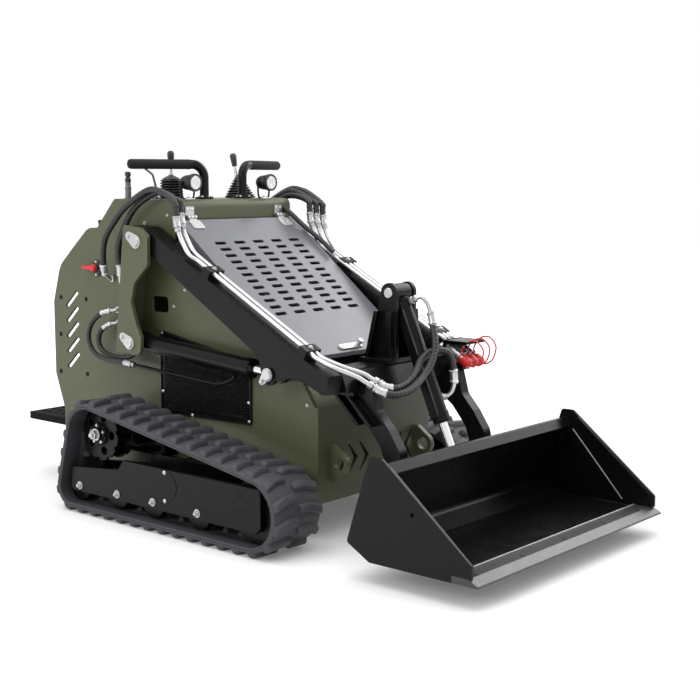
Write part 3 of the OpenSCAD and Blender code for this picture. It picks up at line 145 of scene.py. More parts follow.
look("foam", (0.008, 0.008, 0.009), 0.8, vary=0.25, scale=60, grain=0.9, grain_scale=1500, shine=0.3)
look("dark_steel", (0.14, 0.14, 0.145), 0.4, metal=0.7, vary=0.15, scale=40, grain=0.1)
# Light grey steel: a painted highlight for the beads along the bucket's lip
look("painted_highlight_steel", (0.3, 0.3, 0.31), 0.45, metal=0.4, vary=0.5, scale=60, grain=0.2)
look("step_paint", (0.008, 0.008, 0.009), 0.8, vary=0.25, scale=30, grain=0.3, shine=0.1)
look("plate_zinc", (0.5, 0.5, 0.485), 0.36, metal=0.5, vary=0.06, scale=20, grain=0.06)
look("reflector", (0.9, 0.9, 0.92), 0.25, metal=0.55, vary=0.03)
lens = bpy.data.materials.new("lens")
lens.use_nodes = True
glass = lens.node_tree.nodes["Principled BSDF"]
glass.inputs["Transmission Weight"].default_value = 1.0
glass.inputs["Roughness"].default_value = 0.03
glass.inputs["IOR"].default_value = 1.35
LOOKS["lens"] = lens

for part in frame["record"]["subparts"]:
    mesh = frame["nodes"][part["node"]].data
    mesh.materials.clear()
    mesh.materials.append(LOOKS["step_paint" if part["node"] == "platform" else part["material_slot"]])


# Pieces
def turned(axis):
    """A turn that takes +Z to the axis."""
    return Vector(axis).to_track_quat("Z", "Y").to_matrix()


class Piece:
    """One mesh that gathers shapes of one material and rides on one body."""

    def __init__(self, name, finish, body="chassis", slot=None, crease=35):
        self.name, self.finish, self.body, self.slot, self.crease = name, finish, body, slot, crease
        self.verts, self.faces = [], []

    def add(self, verts, faces):
        """Faces with their own points, counted from 0."""
        base = len(self.verts)
        self.verts += [Vector(v) for v in verts]
        self.faces += [[base + i for i in f] for f in faces]
        return self

    def rings(self, rings, close=True):
        """A skin over rings of equal count, with flat ends unless left open."""
        n = len(rings[0])
        faces = [[i * n + k, i * n + (k + 1) % n, (i + 1) * n + (k + 1) % n, (i + 1) * n + k]
                 for i in range(len(rings) - 1) for k in range(n)]
        if close:
            faces += [list(range(n))[::-1], [(len(rings) - 1) * n + k for k in range(n)]]
        return self.add([v for ring in rings for v in ring], faces)

    def lathe(self, at, axis, profile, n=28, turn=0.0):
        """Round shape along an axis, from pairs of height and radius."""
        m, at = turned(axis), Vector(at)
        return self.rings([[at + m @ Vector((r * math.cos(turn + 2 * math.pi * k / n),
                                             r * math.sin(turn + 2 * math.pi * k / n), h))
                            for k in range(n)] for h, r in profile])

    def tube(self, line, radius, n=14, wave=None):
        """A tube along close points; wave changes its radius by length and angle."""
        rings, side, run = [], None, 0.0
        for i, p in enumerate(line):
            t = (line[min(i + 1, len(line) - 1)] - line[max(i - 1, 0)]).normalized()
            if side is None:
                side = t.orthogonal().normalized()
            else:
                run += (p - line[i - 1]).length
                side = (side - side.dot(t) * t).normalized()
            other = t.cross(side)
            ring = []
            for k in range(n):
                a = 2 * math.pi * k / n
                r = radius + (wave(run, a) if wave else 0)
                ring.append(p + r * (math.cos(a) * side + math.sin(a) * other))
            rings.append(ring)
        return self.rings(rings)

    def prism(self, outline, at, u, v, depth, edge=0.0):
        """A flat outline in the plane of u and v, raised along their cross product, with a chamfered top."""
        at, u, v = Vector(at), Vector(u), Vector(v)
        w = u.cross(v)
        middle = Vector((sum(p[0] for p in outline) / len(outline), sum(p[1] for p in outline) / len(outline)))

        def ring(h, cut):
            out = []
            for p in outline:
                d = Vector(p[:2]) - middle
                d = d * max(0.0, 1 - cut / max(d.length, 1e-6))
                q = middle + d
                out.append(at + u * q.x + v * q.y + w * h)
            return out
        return self.rings([ring(0, 0), ring(depth - edge, 0), ring(depth, edge)] if edge else
                          [ring(0, 0), ring(depth, 0)])

    def block(self, low, high):
        """A box between two corners, with a chamfered top."""
        low, high = Vector(low), Vector(high)
        size = high - low
        return self.prism([(0, 0), (size.x, 0), (size.x, size.y), (0, size.y)], low, X, Y, size.z,
                          min(size) * 0.15)

    def bolt(self, at, axis, r, washer=1.5, turn=0.0):
        """A hexagon head on a washer."""
        at, axis = Vector(at), Vector(axis).normalized()
        h = r * 0.75
        if washer:
            self.lathe(at, axis, [(-1, r * washer), (1.2, r * washer), (1.8, r * washer - 0.6), (1.8, 0.2)], 24)
        self.lathe(at + axis * 1.5, axis, [(-1, r), (h * 0.8, r), (h, r * 0.82), (h, 0.2)], 6, turn)
        return self

    def end(self):
        """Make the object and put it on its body."""
        mesh = bpy.data.meshes.new(self.name)
        mesh.from_pydata([v * MM for v in self.verts], [], self.faces)
        mesh.materials.append(LOOKS[self.finish])
        mesh.shade_smooth()
        mesh.set_sharp_from_angle(angle=math.radians(self.crease))
        made = bpy.data.objects.new(self.name, mesh)
        scene.collection.objects.link(made)
        if self.body:
            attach(made, self.body)
        return made


def arc(x, y, r, first, last, n=10):
    """Points of an arc; angles in degrees."""
    return [(x + r * math.cos(math.radians(first + (last - first) * k / n)),
             y + r * math.sin(math.radians(first + (last - first) * k / n))) for k in range(n + 1)]


def drop(a, ra, b, rb):
    """The outline of a belt round two discs."""
    d = Vector(b) - Vector(a)
    face = math.degrees(math.atan2(d.y, d.x))
    lean = math.degrees(math.acos((ra - rb) / d.length))
    return arc(b[0], b[1], rb, face - lean, face + lean) + arc(a[0], a[1], ra, face + lean, face + 360 - lean, 20)


trees = {}


def hit(node, at, toward):
    """Where a line from a point first meets a CAD node."""
    if node not in trees:
        made = frame["nodes"][node]
        trees[node] = BVHTree.FromPolygons([made.matrix_world @ v.co for v in made.data.vertices],
                                           [p.vertices[:] for p in made.data.polygons])
    found = trees[node].ray_cast(Vector(at) * MM, Vector(toward))[0]
    if found is None:
        raise ValueError(f"{node} is not met from {tuple(at)}")
    return found / MM


def on_side(node, side, x, z):
    """Where a line from outside the machine first meets a CAD node."""
    return hit(node, (x, side * OUTSIDE, z), -Y * side)


def side_plate(piece, outline, side, y):
    """A plate raised outwards from a place across the machine, from its outline in x and z."""
    if side < 0:
        piece.prism(outline, (0, y, 0), X, Z, 6, 1)
    else:
        piece.prism([(x, -z) for x, z in outline][::-1], (0, y, 0), X, -Z, 6, 1)


# Hoses and pipes, on the routes of the CAD
HOSE_STEP = 1.8


def curve(points, step=HOSE_STEP, cuts=24):
    """The CAD's spline through the points, at even steps."""
    p = [Vector(q) for q in points]
    n, fine = len(p) - 1, []
    for i in range(n):
        a, b, c, d = p[max(i - 1, 0)], p[i], p[i + 1], p[min(i + 2, n)]
        for k in range(cuts):
            t = k / cuts
            fine.append(0.5 * (2 * b + (c - a) * t + (2 * a - 5 * b + 4 * c - d) * t ** 2
                               + (3 * b - a - 3 * c + d) * t ** 3))
    fine.append(p[n])
    total = sum((fine[i + 1] - fine[i]).length for i in range(len(fine) - 1))
    count = max(2, round(total / step))
    out, i, run = [fine[0]], 0, 0.0
    for k in range(1, count):
        want = total * k / count
        while run + (fine[i + 1] - fine[i]).length < want:
            run += (fine[i + 1] - fine[i]).length
            i += 1
        out.append(fine[i].lerp(fine[i + 1], (want - run) / (fine[i + 1] - fine[i]).length))
    return out + [fine[-1]]


def length_of(line):
    """Length of a line along its points."""
    return sum((line[i + 1] - line[i]).length for i in range(len(line) - 1))


def part_of(line, start, stop=math.inf):
    """The points of a line between two lengths along it."""
    out, run = [], 0.0
    for i, p in enumerate(line):
        run += (p - line[i - 1]).length if i else 0
        if start <= run <= stop:
            out.append(p)
    return out


def crimp(piece, line, r):
    """A crimped ferrule along a line: two collars and a ribbed middle."""
    total = length_of(line)

    def wave(run, a):
        if run < 2.5 or run > total - 2.5:
            return -0.16 * r
        if run < 8 or run > total - 8:
            return 0.1 * r
        return -0.5 - 0.35 * math.cos(8 * a)

    piece.tube(line, r, 32, wave)


def nut(piece, line, r):
    """A hexagon nut from the first to the last point of a line."""
    axis = line[-1] - line[0]
    h = axis.length
    piece.lathe(line[0], axis, [(0, r * 0.86), (0.12 * h, r), (0.88 * h, r), (h, r * 0.86), (h, 1)], 6, 0.3)


def hose(name, line, radius, nodes, pitch=12.0):
    """A hose in a spiral sleeve along a line, in place of CAD nodes."""

    def sleeve(run, a):
        turn = (run / pitch - a / (2 * math.pi)) % 1
        return 0.4 - 1.1 * abs(turn - 0.45) - (0.7 if turn > 0.85 else 0)

    made = Piece(name, "hose_rubber", body=None, crease=60).tube(line, radius - 0.3, 16, sleeve).end()
    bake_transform(made)
    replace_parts(made, *nodes)


def from_wall(x, z):
    """The first points of a hose that leaves the wall."""
    return [(x, -WALL - out, z) for out in (0.5, 6, 12)]


def mirrored(points, side):
    """A route of the right side, or its mirror image on the left."""
    return [(x, -side * y, z) for x, y, z in points]


# Routes over the arms in x and z: feet at the wall, arches round the lift pin, starts and ends of the tubes
FEET = ((-534, 690), (-480, 682), (-445, 668))
ARCHES = (((-193, -3), (-133, 67), (-77, 109), (15, 151), (73, 147), (113, 131)),
          ((-153, -23), (-117, 47), (-65, 103), (21, 143), (75, 139), (111, 125)),
          ((-119, -43), (-93, 25), (-49, 79), (25, 125), (75, 131), (115, 123)))
STARTS = {"right": ((-175, 900), (-178, 908)), "left": ((-150, 892), (-160, 896), (-170, 900))}
ROWS = {"right": (302, 281), "left": (308, 288, 268)}
ENDS = {"right": ((0, 8, 10, 22, 0), (48, 40, 4, 0, 6), (66, 52, 3, -13, 7), (84, 64, 2, -26, 8)),
        "left": ((-30, 24, 5, 37, 0), (-18, 48, 10, 32, 0), (-10, 48, 10, 32, 0), (-2.5, 48, 10, 32, 0))}
DROP = ((0, 0), (1.5, -15), (3, -30), (12, -60), (28, -88), (53, -119))
CLAMPS = (-40, 330)
HALF_BEAM, TUBE_RISE = 45, 20
ARM_SLOPE = math.tan(ARM_FALL)
ARM_RISE = LIFT_PIN[1] + HALF_BEAM / math.cos(ARM_FALL)


def beam_top(x):
    """Height of an arm's upper face."""
    return ARM_RISE - (x - LIFT_PIN[0]) * ARM_SLOPE


def arm_hose(y, i, end):
    """The route of a hose from the wall, over the pivot, to a tube's start."""
    foot = FEET[i]
    return from_wall(*foot) + [(foot[0] + 8, min(12 - y, -WALL - 14), foot[1] + 34)] + [
        (LIFT_PIN[0] + x, -y, LIFT_PIN[1] + z) for x, z in ARCHES[i]] + [
        (end[0] - up / 10, -y, end[1] + 0.5 + up) for up in (24, 12, 0)]


def arm_tube(y, i, name):
    """The route of a tube down to the arm, along it and over its nose."""
    start = STARTS[name][i]
    return [(start[0] + x, -y, start[1] + z) for x, z in DROP] + [
        (x, -y, beam_top(x) + TUBE_RISE) for x in (-85, -60, 145, 300, 350, 375)] + [
        (430 + p[0], p[1] - y + p[2] * i, 480 + p[3] + p[4] * i) for p in ENDS[name]]


for side, name in SIDES:
    wall_end = Piece(f"arm_hose_fittings_{name}", "zinc")
    arm_end = Piece(f"arm_tube_fittings_{name}", "zinc", "loader_arm")
    tubes = Piece(f"tubes_{name}", "zinc", "loader_arm")
    for i, y in enumerate(ROWS[name]):
        bend = curve(mirrored(arm_hose(y, i, STARTS[name][i]), side))
        line = bend + curve(mirrored(arm_tube(y, i, name), side))[1:]
        reach, total = length_of(bend), length_of(line)
        hose(f"arm_hose_{name}_{i}", part_of(line, 36, reach + 22), 10,
             [f"arm_hoses_{name}"])
        nut(wall_end, part_of(line, 0, 10), 12.5)
        wall_end.tube(part_of(line, 6, 44), 6.8, 18)
        crimp(wall_end, part_of(line, 34, 74), 11.4)
        crimp(arm_end, part_of(line, reach + 6, reach + 46), 11.4)
        nut(arm_end, part_of(line, reach + 44, reach + 58), 10.6)
        tubes.tube(part_of(line, reach + 42, total), 6.6, 16)
        if name == "right":
            nut(arm_end, part_of(line, total - 16, total), 10.6)
    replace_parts(tubes.end(), f"arm_tubes_{name}")
    wall_end.end()
    arm_end.end()

LOOM = [(-239.5, -219, 900), (-234, -219, 900), (-228, -219, 900), (-205, -222, 884), (-168, -235, 850),
        (-130, -248, 820), (-96, -256, 794), (-62, -258, 768)]
hose("loom", curve(mirrored(LOOM, 1)), 8, ["arm_hoses_left"], 5.0)

RAM_TURN = math.atan2(RAM_EYE[1] - RAM_PIN[1], RAM_EYE[0] - RAM_PIN[0])
PIPE_X, PIPE_Y, PIPE_Z = -398, -300, 480


def by_barrel(x, z):
    """A point of the pipe, from its place along the lift cylinder and over its axis."""
    c, s = math.cos(RAM_TURN), math.sin(RAM_TURN)
    return (RAM_PIN[0] + x * c - z * s, PIPE_Y, RAM_PIN[1] + x * s + z * c)


RAM_LOW = from_wall(-509, 592) + [(-540, -290, 582), (-578, -302, 548), (-592, -304, 500), (-566, -304, 458),
                                  (-508, -302, 441), (-460, -300, 440)] + [by_barrel(*p) for p in (
    (-62, -76), (-30, -75.5), (150, -72.4), (300, -69.8), (345, -67), (380, -56), (402, -44), (408, -38),
    (413.8, -32.2))]
RAM_FOOT = from_wall(-505, 552) + [(-528, -282, 544), (-560, -286, 515), (-560, -286, 478), (-528, -284, 455),
                                   (-470, -284, 450), (-418, -286, 455), (-388, -289, 472), (-372.4, -290, 491.1)]
for side, name in SIDES:
    barrel, node = f"lift_barrel_{name}", [f"ram_hoses_{name}"]
    wall_end = Piece(f"ram_hose_fittings_{name}", "zinc")
    barrel_end = Piece(f"ram_pipe_fittings_{name}", "zinc", barrel)
    run = curve(mirrored(RAM_LOW, side))
    turn = next(i for i, p in enumerate(run) if p.x > PIPE_X and p.z < PIPE_Z)
    low, pipe, foot = run[:turn + 1], run[turn - 2:], curve(mirrored(RAM_FOOT, side))
    hose(f"ram_hose_low_{name}", part_of(low, 30), 8, node)
    hose(f"ram_hose_foot_{name}", part_of(foot, 30), 8, node)
    made = Piece(f"ram_pipe_{name}", "black_paint", barrel).tube(pipe, 5.4, 16).end()
    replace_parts(made, *node)
    for line in (low, foot):
        nut(wall_end, part_of(line, 0, 9), 11)
        wall_end.tube(part_of(line, 6, 36), 5.8, 16)
        crimp(wall_end, part_of(line, 28, 62), 9.4)
    crimp(barrel_end, low[-16:] + pipe[3:9], 9.8)
    nut(barrel_end, pipe[9:15], 9.4)
    crimp(barrel_end, part_of(foot, length_of(foot) - 32, length_of(foot) - 9), 9.4)
    nut(barrel_end, part_of(foot, length_of(foot) - 10, length_of(foot)), 10.6)
    wall_end.end()
    barrel_end.end()

TILT_TOP = [(514.4, -237.8, 453.6), (521.6, -232.9, 448.4), (528.9, -228, 443.2), (556, -205, 432),
            (568, -165, 436), (566, -118, 450), (558, -74, 470), (554, -39, 496), (548, -14, 526), (538, 2, 557),
            (523, 13, 589), (512, 20, 622), (498, 18, 656), (482, 12, 672), (466, 8, 668), (456.8, 8, 663.8),
            (447.6, 8, 659.7)]
TILT_LOW = [(514.4, -214.8, 461.6), (522, -210.1, 456.6), (529.5, -205.5, 451.6), (546, -180, 446),
            (546, -130, 456), (538, -84, 478), (524, -42, 506), (524, 0, 523), (542, 39, 524), (550, 58, 506),
            (554, 66, 470), (556, 68, 434), (552, 62, 408), (544, 52, 395), (540, 43.5, 392.5),
            (540, 33.5, 392.5), (540, 23.6, 392.5)]
arm_end = Piece("tilt_hose_fittings", "zinc", "loader_arm")
barrel_end = Piece("tilt_elbows", "zinc", "tilt_barrel")
for name, points, elbow in (("top", TILT_TOP, 122), ("low", TILT_LOW, 108)):
    run = curve(points)
    total = length_of(run)
    hose(f"tilt_hose_{name}", part_of(run, 0, total - elbow + 30), 10,
         ["tilt_hoses"])
    crimp(arm_end, part_of(run, 0, 44), 11.4)
    crimp(barrel_end, part_of(run, total - elbow - 6, total - elbow + 36), 11.4)
    barrel_end.tube(part_of(run, total - elbow + 30, total), 6.2, 18)
    nut(barrel_end, part_of(run, total - 24, total - 8), 10.4)
    nut(barrel_end, part_of(run, total - 9, total), 11.6)
arm_end.end()
barrel_end.end()

# Tracks: a belt with bevelled edges, kinked tread lugs in two rows and guide lugs inside
AXLES = ((-385, 241, 95), (-467, 74, 60), (288, 117.5, 103.5))
BELT_Y, BELT_T = 398, 14
LUG_H, LUG_PITCH, LUG_GAP, LUG_REACH = 14, 60, 5, 83


def belt_loop():
    """Straight and bent stretches of the belt's outer face, as length, axle, angle and whether it bends."""
    def out_angle(a, b):
        apart = math.hypot(b[0] - a[0], b[1] - a[1])
        return math.atan2(b[1] - a[1], b[0] - a[0]) - math.acos((a[2] - b[2]) / apart)

    found = []
    for i, a in enumerate(AXLES):
        b = AXLES[(i + 1) % len(AXLES)]
        first, last = out_angle(AXLES[i - 1], a), out_angle(a, b)
        turn = (last - first) % (2 * math.pi)
        found.append((turn * a[2], a, first, True))
        run = math.sqrt((b[0] - a[0]) ** 2 + (b[1] - a[1]) ** 2 - (a[2] - b[2]) ** 2)
        found.append((run, a, last, False))
    return found


LOOP = belt_loop()
LOOP_LEN = sum(p[0] for p in LOOP)
LUGS = round(LOOP_LEN / LUG_PITCH)


def on_belt(s, y, h):
    """The point at a length along the belt, a place across it and a height over its outer face."""
    s %= LOOP_LEN
    for length, a, angle, bent in LOOP:
        if s <= length:
            break
        s -= length
    if bent:
        angle += s / a[2]
        s = 0
    r = a[2] + h
    return Vector((a[0] + r * math.cos(angle) - s * math.sin(angle), y,
                   a[1] + r * math.sin(angle) + s * math.cos(angle)))


def tread(piece, s, row, mid):
    """One lug: a kinked bar across half of the belt, with sloped flanks and rounded crests."""
    rings = []
    for t, off, tall, wide in ((0.0, 4, 0.3, 0.8), (0.07, 4, 0.85, 0.95), (0.12, 3.5, 1, 1), (0.45, 3, 1, 1.0),
                               (0.6, -1, 1, 1.04), (0.9, -8, 1, 1.08), (0.96, -9.5, 0.86, 1.04),
                               (1.0, -10, 0.5, 0.9)):
        y = mid + row * (LUG_GAP + LUG_REACH * t)
        top, root, tip = LUG_H * tall, 15 * wide, 8.6 * wide
        ring = [(-root, -2), (-root + 1.2, 1.4), (-tip - 1.6, top - 2.6), (-tip + 1.4, top - 0.3), (0, top),
                (tip - 1.4, top - 0.3), (tip + 1.6, top - 2.6), (root - 1.2, 1.4), (root, -2)]
        rings.append([on_belt(s + off + d, y, min(h, top)) for d, h in ring])
    piece.rings(rings if row > 0 else rings[::-1])


def guide(piece, s, mid):
    """One guide lug on the belt's inside."""
    rings = []
    for h, along, across in ((-BELT_T + 2, 13, 17), (-BELT_T - 2, 12, 16), (-BELT_T - 12, 7.5, 12),
                             (-BELT_T - 16, 5, 10), (-BELT_T - 17.5, 2.5, 8)):
        rings.append([on_belt(s + d * along, mid + e * across, h) for d, e in
                      ((-1, -0.8), (-0.8, -1), (0.8, -1), (1, -0.8), (1, 0.8), (0.8, 1), (-0.8, 1), (-1, 0.8))])
    piece.rings(rings)


HALF_SECTION = ((24, -14), (26, -12.8), (38, -12.8), (40, -14), (88, -14), (90, -11.5), (90, -9), (88.6, -8),
                (90, -7), (90, -4), (89.4, -1.6), (87, 0))
SECTION = [(-y, h) for y, h in HALF_SECTION[::-1]] + list(HALF_SECTION)
BELT_STEPS = 330
for side, name in SIDES:
    belt = Piece(f"belt_{name}", "track_rubber")
    mid = side * BELT_Y
    rings = [[on_belt(LOOP_LEN * k / BELT_STEPS, mid + y, h) for y, h in SECTION] for k in range(BELT_STEPS)]
    belt.rings(rings + [rings[0]], close=False)
    for k in range(LUGS):
        tread(belt, LOOP_LEN * k / LUGS, side, mid)
        tread(belt, LOOP_LEN * (k + 0.5) / LUGS, -side, mid)
        guide(belt, LOOP_LEN * k / LUGS, mid)
    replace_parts(belt.end(), f"track_{name}")

# Covers of the track frames, sprockets and motors
COVER_Y, MOUNT_Y, MOTOR_Y = 465, 300, 262
DRIVE_X, DRIVE_Z, _ = AXLES[0]
for side, name in SIDES:
    out = Y * side
    node = f"track_frame_{name}"
    bolts = Piece(f"roller_bolts_{name}", "zinc")
    for x, z in ((-445, 80), (-271, 80), (-113, 82), (73, 81)):
        at = on_side(node, side, x, z)
        bolts.bolt(at, out, 8.5, 1.45, 0.4)
        bolts.lathe(at + out * 6, out, [(0, 5), (5, 5), (6, 4), (6, 0.5)], 14)
    for x, z in ((-61, 176), (-61, 94)):
        at = on_side(node, side, x, z)
        bolts.lathe(at - out, out, [(0, 6.5), (1.5, 6.5), (3.2, 5), (4, 2.5), (4.2, 0.5)], 18)
    bolts.end()
    seam = Piece(f"cover_seam_{name}", "black_paint", crease=60)
    bow = [(-44, 181), (-30, 172), (-17, 156), (-11, 138), (-16, 120), (-27, 106), (-40, 97)]
    seam.tube(curve([(x, side * COVER_Y, z) for x, z in bow], 4), 1.6, 8)
    for x, z in ((239, 156), (239, 114)):
        seam.lathe(on_side(node, side, x, z) - out, out,
                   [(0, 7.5), (1.6, 7.5), (2, 6.8), (1.6, 6), (0.4, 5.6), (0.4, 0.5)], 20)
    seam.end()
    hub = Piece(f"hub_nut_{name}", "zinc")
    at = on_side(f"final_drive_{name}", side, DRIVE_X, DRIVE_Z)
    hub.lathe(at - out, out, [(0, 19), (2, 19), (3, 18), (3, 1)], 30)
    hub.lathe(at + out, out, [(0, 15), (11, 15), (13, 13), (13, 1)], 6, 0.2)
    hub.lathe(at + out * 12, out, [(0, 8), (7, 8), (9, 6.5), (9, 0.5)], 18)
    for k in range(5):
        a = math.radians(72 * k + 20)
        spot = on_side(f"final_drive_{name}", side, DRIVE_X + 27 * math.cos(a), DRIVE_Z + 27 * math.sin(a))
        hub.bolt(spot, out, 5.6, 0, a)
    hub.end()
    mount = Piece(f"motor_mount_{name}", "black_paint")
    for x, y, low, high in ((-402, MOUNT_Y, 168, 182), (-330, MOTOR_Y, 176, 238), (-262, MOUNT_Y, 176, 238)):
        first, last = sorted((side * WALL, side * y))
        mount.block((x, first, low), (-246, last, high))
    mount.end()
    heads = Piece(f"motor_bolts_{name}", "zinc")
    for x, z in ((-312, 222), (-284, 222), (-312, 196), (-284, 196)):
        heads.bolt((x, side * MOTOR_Y, z), out, 6.5, 1.4, 0.2)
    heads.end()

# Controls
STICK_X, STICK_Y, STICK_REACH, KNOB = -368, 147, 147, 43
BOOT_RIBS = 7
for side, name in SIDES:
    far = side > 0
    turn = math.radians(12 if far else 0)
    lean = Vector((-math.sin(turn), 0, math.cos(turn)))
    foot = Vector((STICK_X, side * STICK_Y, CONSOLE))
    boot = Piece(f"boot_{name}", "black_plastic")
    base, top = (50, 21) if far else (40, 34)
    profile = [(0, base + 1), (2.5, base + 1), (3.5, base - 2)]
    for k in range(BOOT_RIBS):
        r, z = base - 2 + (top - base + 2) * k / (BOOT_RIBS - 1), 4 + k * 8
        profile += [(z, r - 6.5), (z + 2, r - 1), (z + 3.6, r), (z + 5.2, r - 1), (z + 7.2, r - 6.5)]
    profile += [(61, top - 6), (65, top * 0.66), (69, top * 0.4), (72, 8), (74, 6.4), (74, 0.5)]
    boot.lathe(foot, (lean + Z * 2).normalized() if far else Z, profile, 40)
    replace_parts(boot.end(), f"joystick_{name}")
    stick = [(0, 4.6), (10, 4.6), (11, 6), (16, 6), (17, 4.6), (60, 4.6), (60, 0.5)]
    Piece(f"stick_{name}", "zinc").lathe(foot + lean * 60, lean, stick, 18).end()
    knob = [(0, 6.4), (1, 8), (8, 8.8), (24, 10.4), (33, 11), (38, 10), (41.5, 7), (KNOB, 3), (KNOB, 0.5)]
    Piece(f"knob_{name}", "black_plastic").lathe(foot + lean * (STICK_REACH - KNOB), lean, knob, 28).end()

# A thin bent lever beside the near boot, the throttle and a stud on the shelf behind the console
lever = Piece("park_lever", "black_plastic", crease=60)
bent = [(x, -150, z) for x, z in
        ((-436, CONSOLE), (-436, 952), (-436, 970), (-449, 1007), (-461, 1017), (-484, 1029))]
lever.tube(curve(bent, 3), 3.4, 12)
lever.lathe(bent[0], Z, [(0, 14), (2, 14), (4, 12), (6, 7), (12, 5), (12, 0.5)], 20)
lever.end()
throttle = Vector((-478, -226, CONSOLE))
stem = Piece("throttle_stem", "dark_steel", slot="zinc")
stem.lathe(throttle, Z, [(0, 12), (3, 12), (4, 9.4), (30, 9.4), (31, 10.4), (35, 10.4), (36, 8.6), (50, 8.6),
                         (52, 7), (52, 0.5)], 24)
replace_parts(stem.end(), "throttle_lever")
Piece("throttle_knob", "black_plastic").lathe(
    throttle + Z * 51, Z, [(0, 8), (2, 9.4), (10, 9.4), (13, 7), (17, 7), (20, 9), (28, 9.6), (31, 8), (32.5, 4),
                           (32.5, 0.5)], 24).end()
stud = Piece("shelf_stud", "black_plastic")
at = hit("rear_cover", (-640, -205, 930), -Z)
stud.lathe(at - Z, Z, [(0, 11), (3, 11), (4, 8.5), (16, 8.5), (17, 10), (25, 10), (27, 8), (27, 0.5)], 20).end()

# Lamps
LAMP_X, LAMP_Y, LAMP_RISE = -240, 163, 50
for side, name in SIDES:
    at = Vector((LAMP_X, side * LAMP_Y, CONSOLE + LAMP_RISE))
    shell = Piece(f"lamp_shell_{name}", "black_plastic")
    shell.lathe(at - X * 56, X, [(0, 1), (0, 12), (4, 18), (12, 21), (14, 20), (18, 20), (20, 22.4), (24, 22.4),
                                 (26, 21.4), (30, 21.4), (32, 23.6), (43, 25), (45, 26.6), (56, 26.8), (57, 26),
                                 (57, 20.8), (52, 20), (52, 1)], 44)
    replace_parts(shell.end(), f"lamp_{name}")
    bowl = Piece(f"lamp_bowl_{name}", "reflector", slot="zinc")
    bowl.lathe(at - X * 4.4, X, [(0.2, 0.5), (0.4, 3), (0.6, 6.4), (1.6, 12), (3.4, 17.4), (4.4, 19.8), (4.6, 20)], 44)
    bowl.lathe(at - X * 4.2, X, [(0, 6), (2, 5.6), (3.2, 4), (3.6, 0.4)], 20).end()
    Piece(f"lamp_lens_{name}", "lens", slot="black_plastic").lathe(
        at + X * 0.4, X, [(-1.2, 0.5), (-1.2, 20.4), (-0.2, 20.4), (0.5, 15), (0.8, 0.5)], 44).end()
    bracket = Piece(f"lamp_bracket_{name}", "zinc")
    bracket.block(at + Vector((-46, -17, -50)), at + Vector((-24, 17, -47.5)))
    bracket.bolt(at + Vector((-35, 0, -47.6)), Z, 4.5)
    bracket.end()
    yoke = Piece(f"lamp_yoke_{name}", "black_paint")
    fork = ((15, -48.5), (21, -46), (24, -38), (25.4, -20), (25.4, 2))
    for s in (-1, 1):
        yoke.tube(curve([at + Vector((-35, s * y, z)) for y, z in fork], 3), 3, 10)
        yoke.bolt(at + Vector((-35, s * 25, 0)), Y * s, 4.6, 1.4)
    yoke.end()

# Foam grips and flanges of the grab bars
BAR_X, BAR_Y, BAR_RISE, BAR_SWEEP = -290, 82, 105, math.radians(17)
for side, name in SIDES:
    run = Vector((-math.sin(BAR_SWEEP), side * math.cos(BAR_SWEEP), 0))
    post = Vector((BAR_X, side * BAR_Y, CONSOLE))
    foam = Piece(f"grip_{name}", "foam", slot="black_paint")
    foam.lathe(post + Z * BAR_RISE + run * 46, run, [(0, 14.1), (0.4, 14.5), (2, 14.9), (190, 14.9), (196, 14.5),
                                                     (201, 12), (204, 6), (204.6, 0.5)], 32).end()
    flange = Piece(f"flange_{name}", "zinc")
    for k in range(3):
        a = math.radians(60 + 120 * k)
        flange.bolt(post + Vector((21.5 * math.cos(a), 21.5 * math.sin(a), 6)), Z, 3.6, 1.4)
    flange.end()

# Fasteners on the walls, and the battery switch
for side, name in SIDES:
    wall, out = f"{name}_wall", Y * side
    buttons = Piece(f"wall_buttons_{name}", "black_paint")
    for x, z in ((-802, 615), (-808, 493), (-814, 369), (-671, 616), (-674, 373)):
        buttons.lathe(on_side(wall, side, x, z) - out, out,
                      [(0, 7.5), (1.4, 7.5), (3.4, 6.4), (4.6, 3.6), (5, 0.5)], 20)
    buttons.end()
    bolts = Piece(f"wall_bolts_{name}", "zinc")
    for x, z in ((-272, 890), (-376, 866), (-200, 671), (-250, 619), (290, 380)):
        bolts.bolt(on_side(wall, side, x, z), out, 3.8, 1.4, 0.3)
    bolts.end()

KEY_X, KEY_Z = -613, 719
plate = Piece("switch_plate", "black_plastic")
plate.prism(arc(-609, 724, 20, 0, 180, 16) + arc(-609, 712, 20, 180, 360, 16), (0, -WALL + 0.5, 0), X, Z, 7, 2)
plate.lathe((KEY_X, -WALL - 6, KEY_Z), -Y, [(0, 14), (3, 14), (4, 13), (4, 0.5)], 28)
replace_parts(plate.end(), "battery_switch")
screws = Piece("switch_screws", "zinc")
for z in (698, 738):
    screws.lathe((-609, -WALL - 6, z), -Y, [(0, 4.4), (1, 4.4), (2.2, 3), (2.4, 0.5)], 14)
screws.end()
key = Piece("switch_key", "red_plastic")
key.lathe((KEY_X, -WALL - 9, KEY_Z), -Y, [(0, 12), (8, 11.6), (10.5, 10.4), (11.5, 7.5), (11.5, 0.5)], 30)
key.prism([(-608, 727), (-640, 726), (-660, 724.5), (-666, 722), (-667, 718), (-664, 714.5), (-640, 712.5),
           (-608, 711.5)], (0, -WALL - 11, 0), X, Z, 10, 2.5)
key.end()

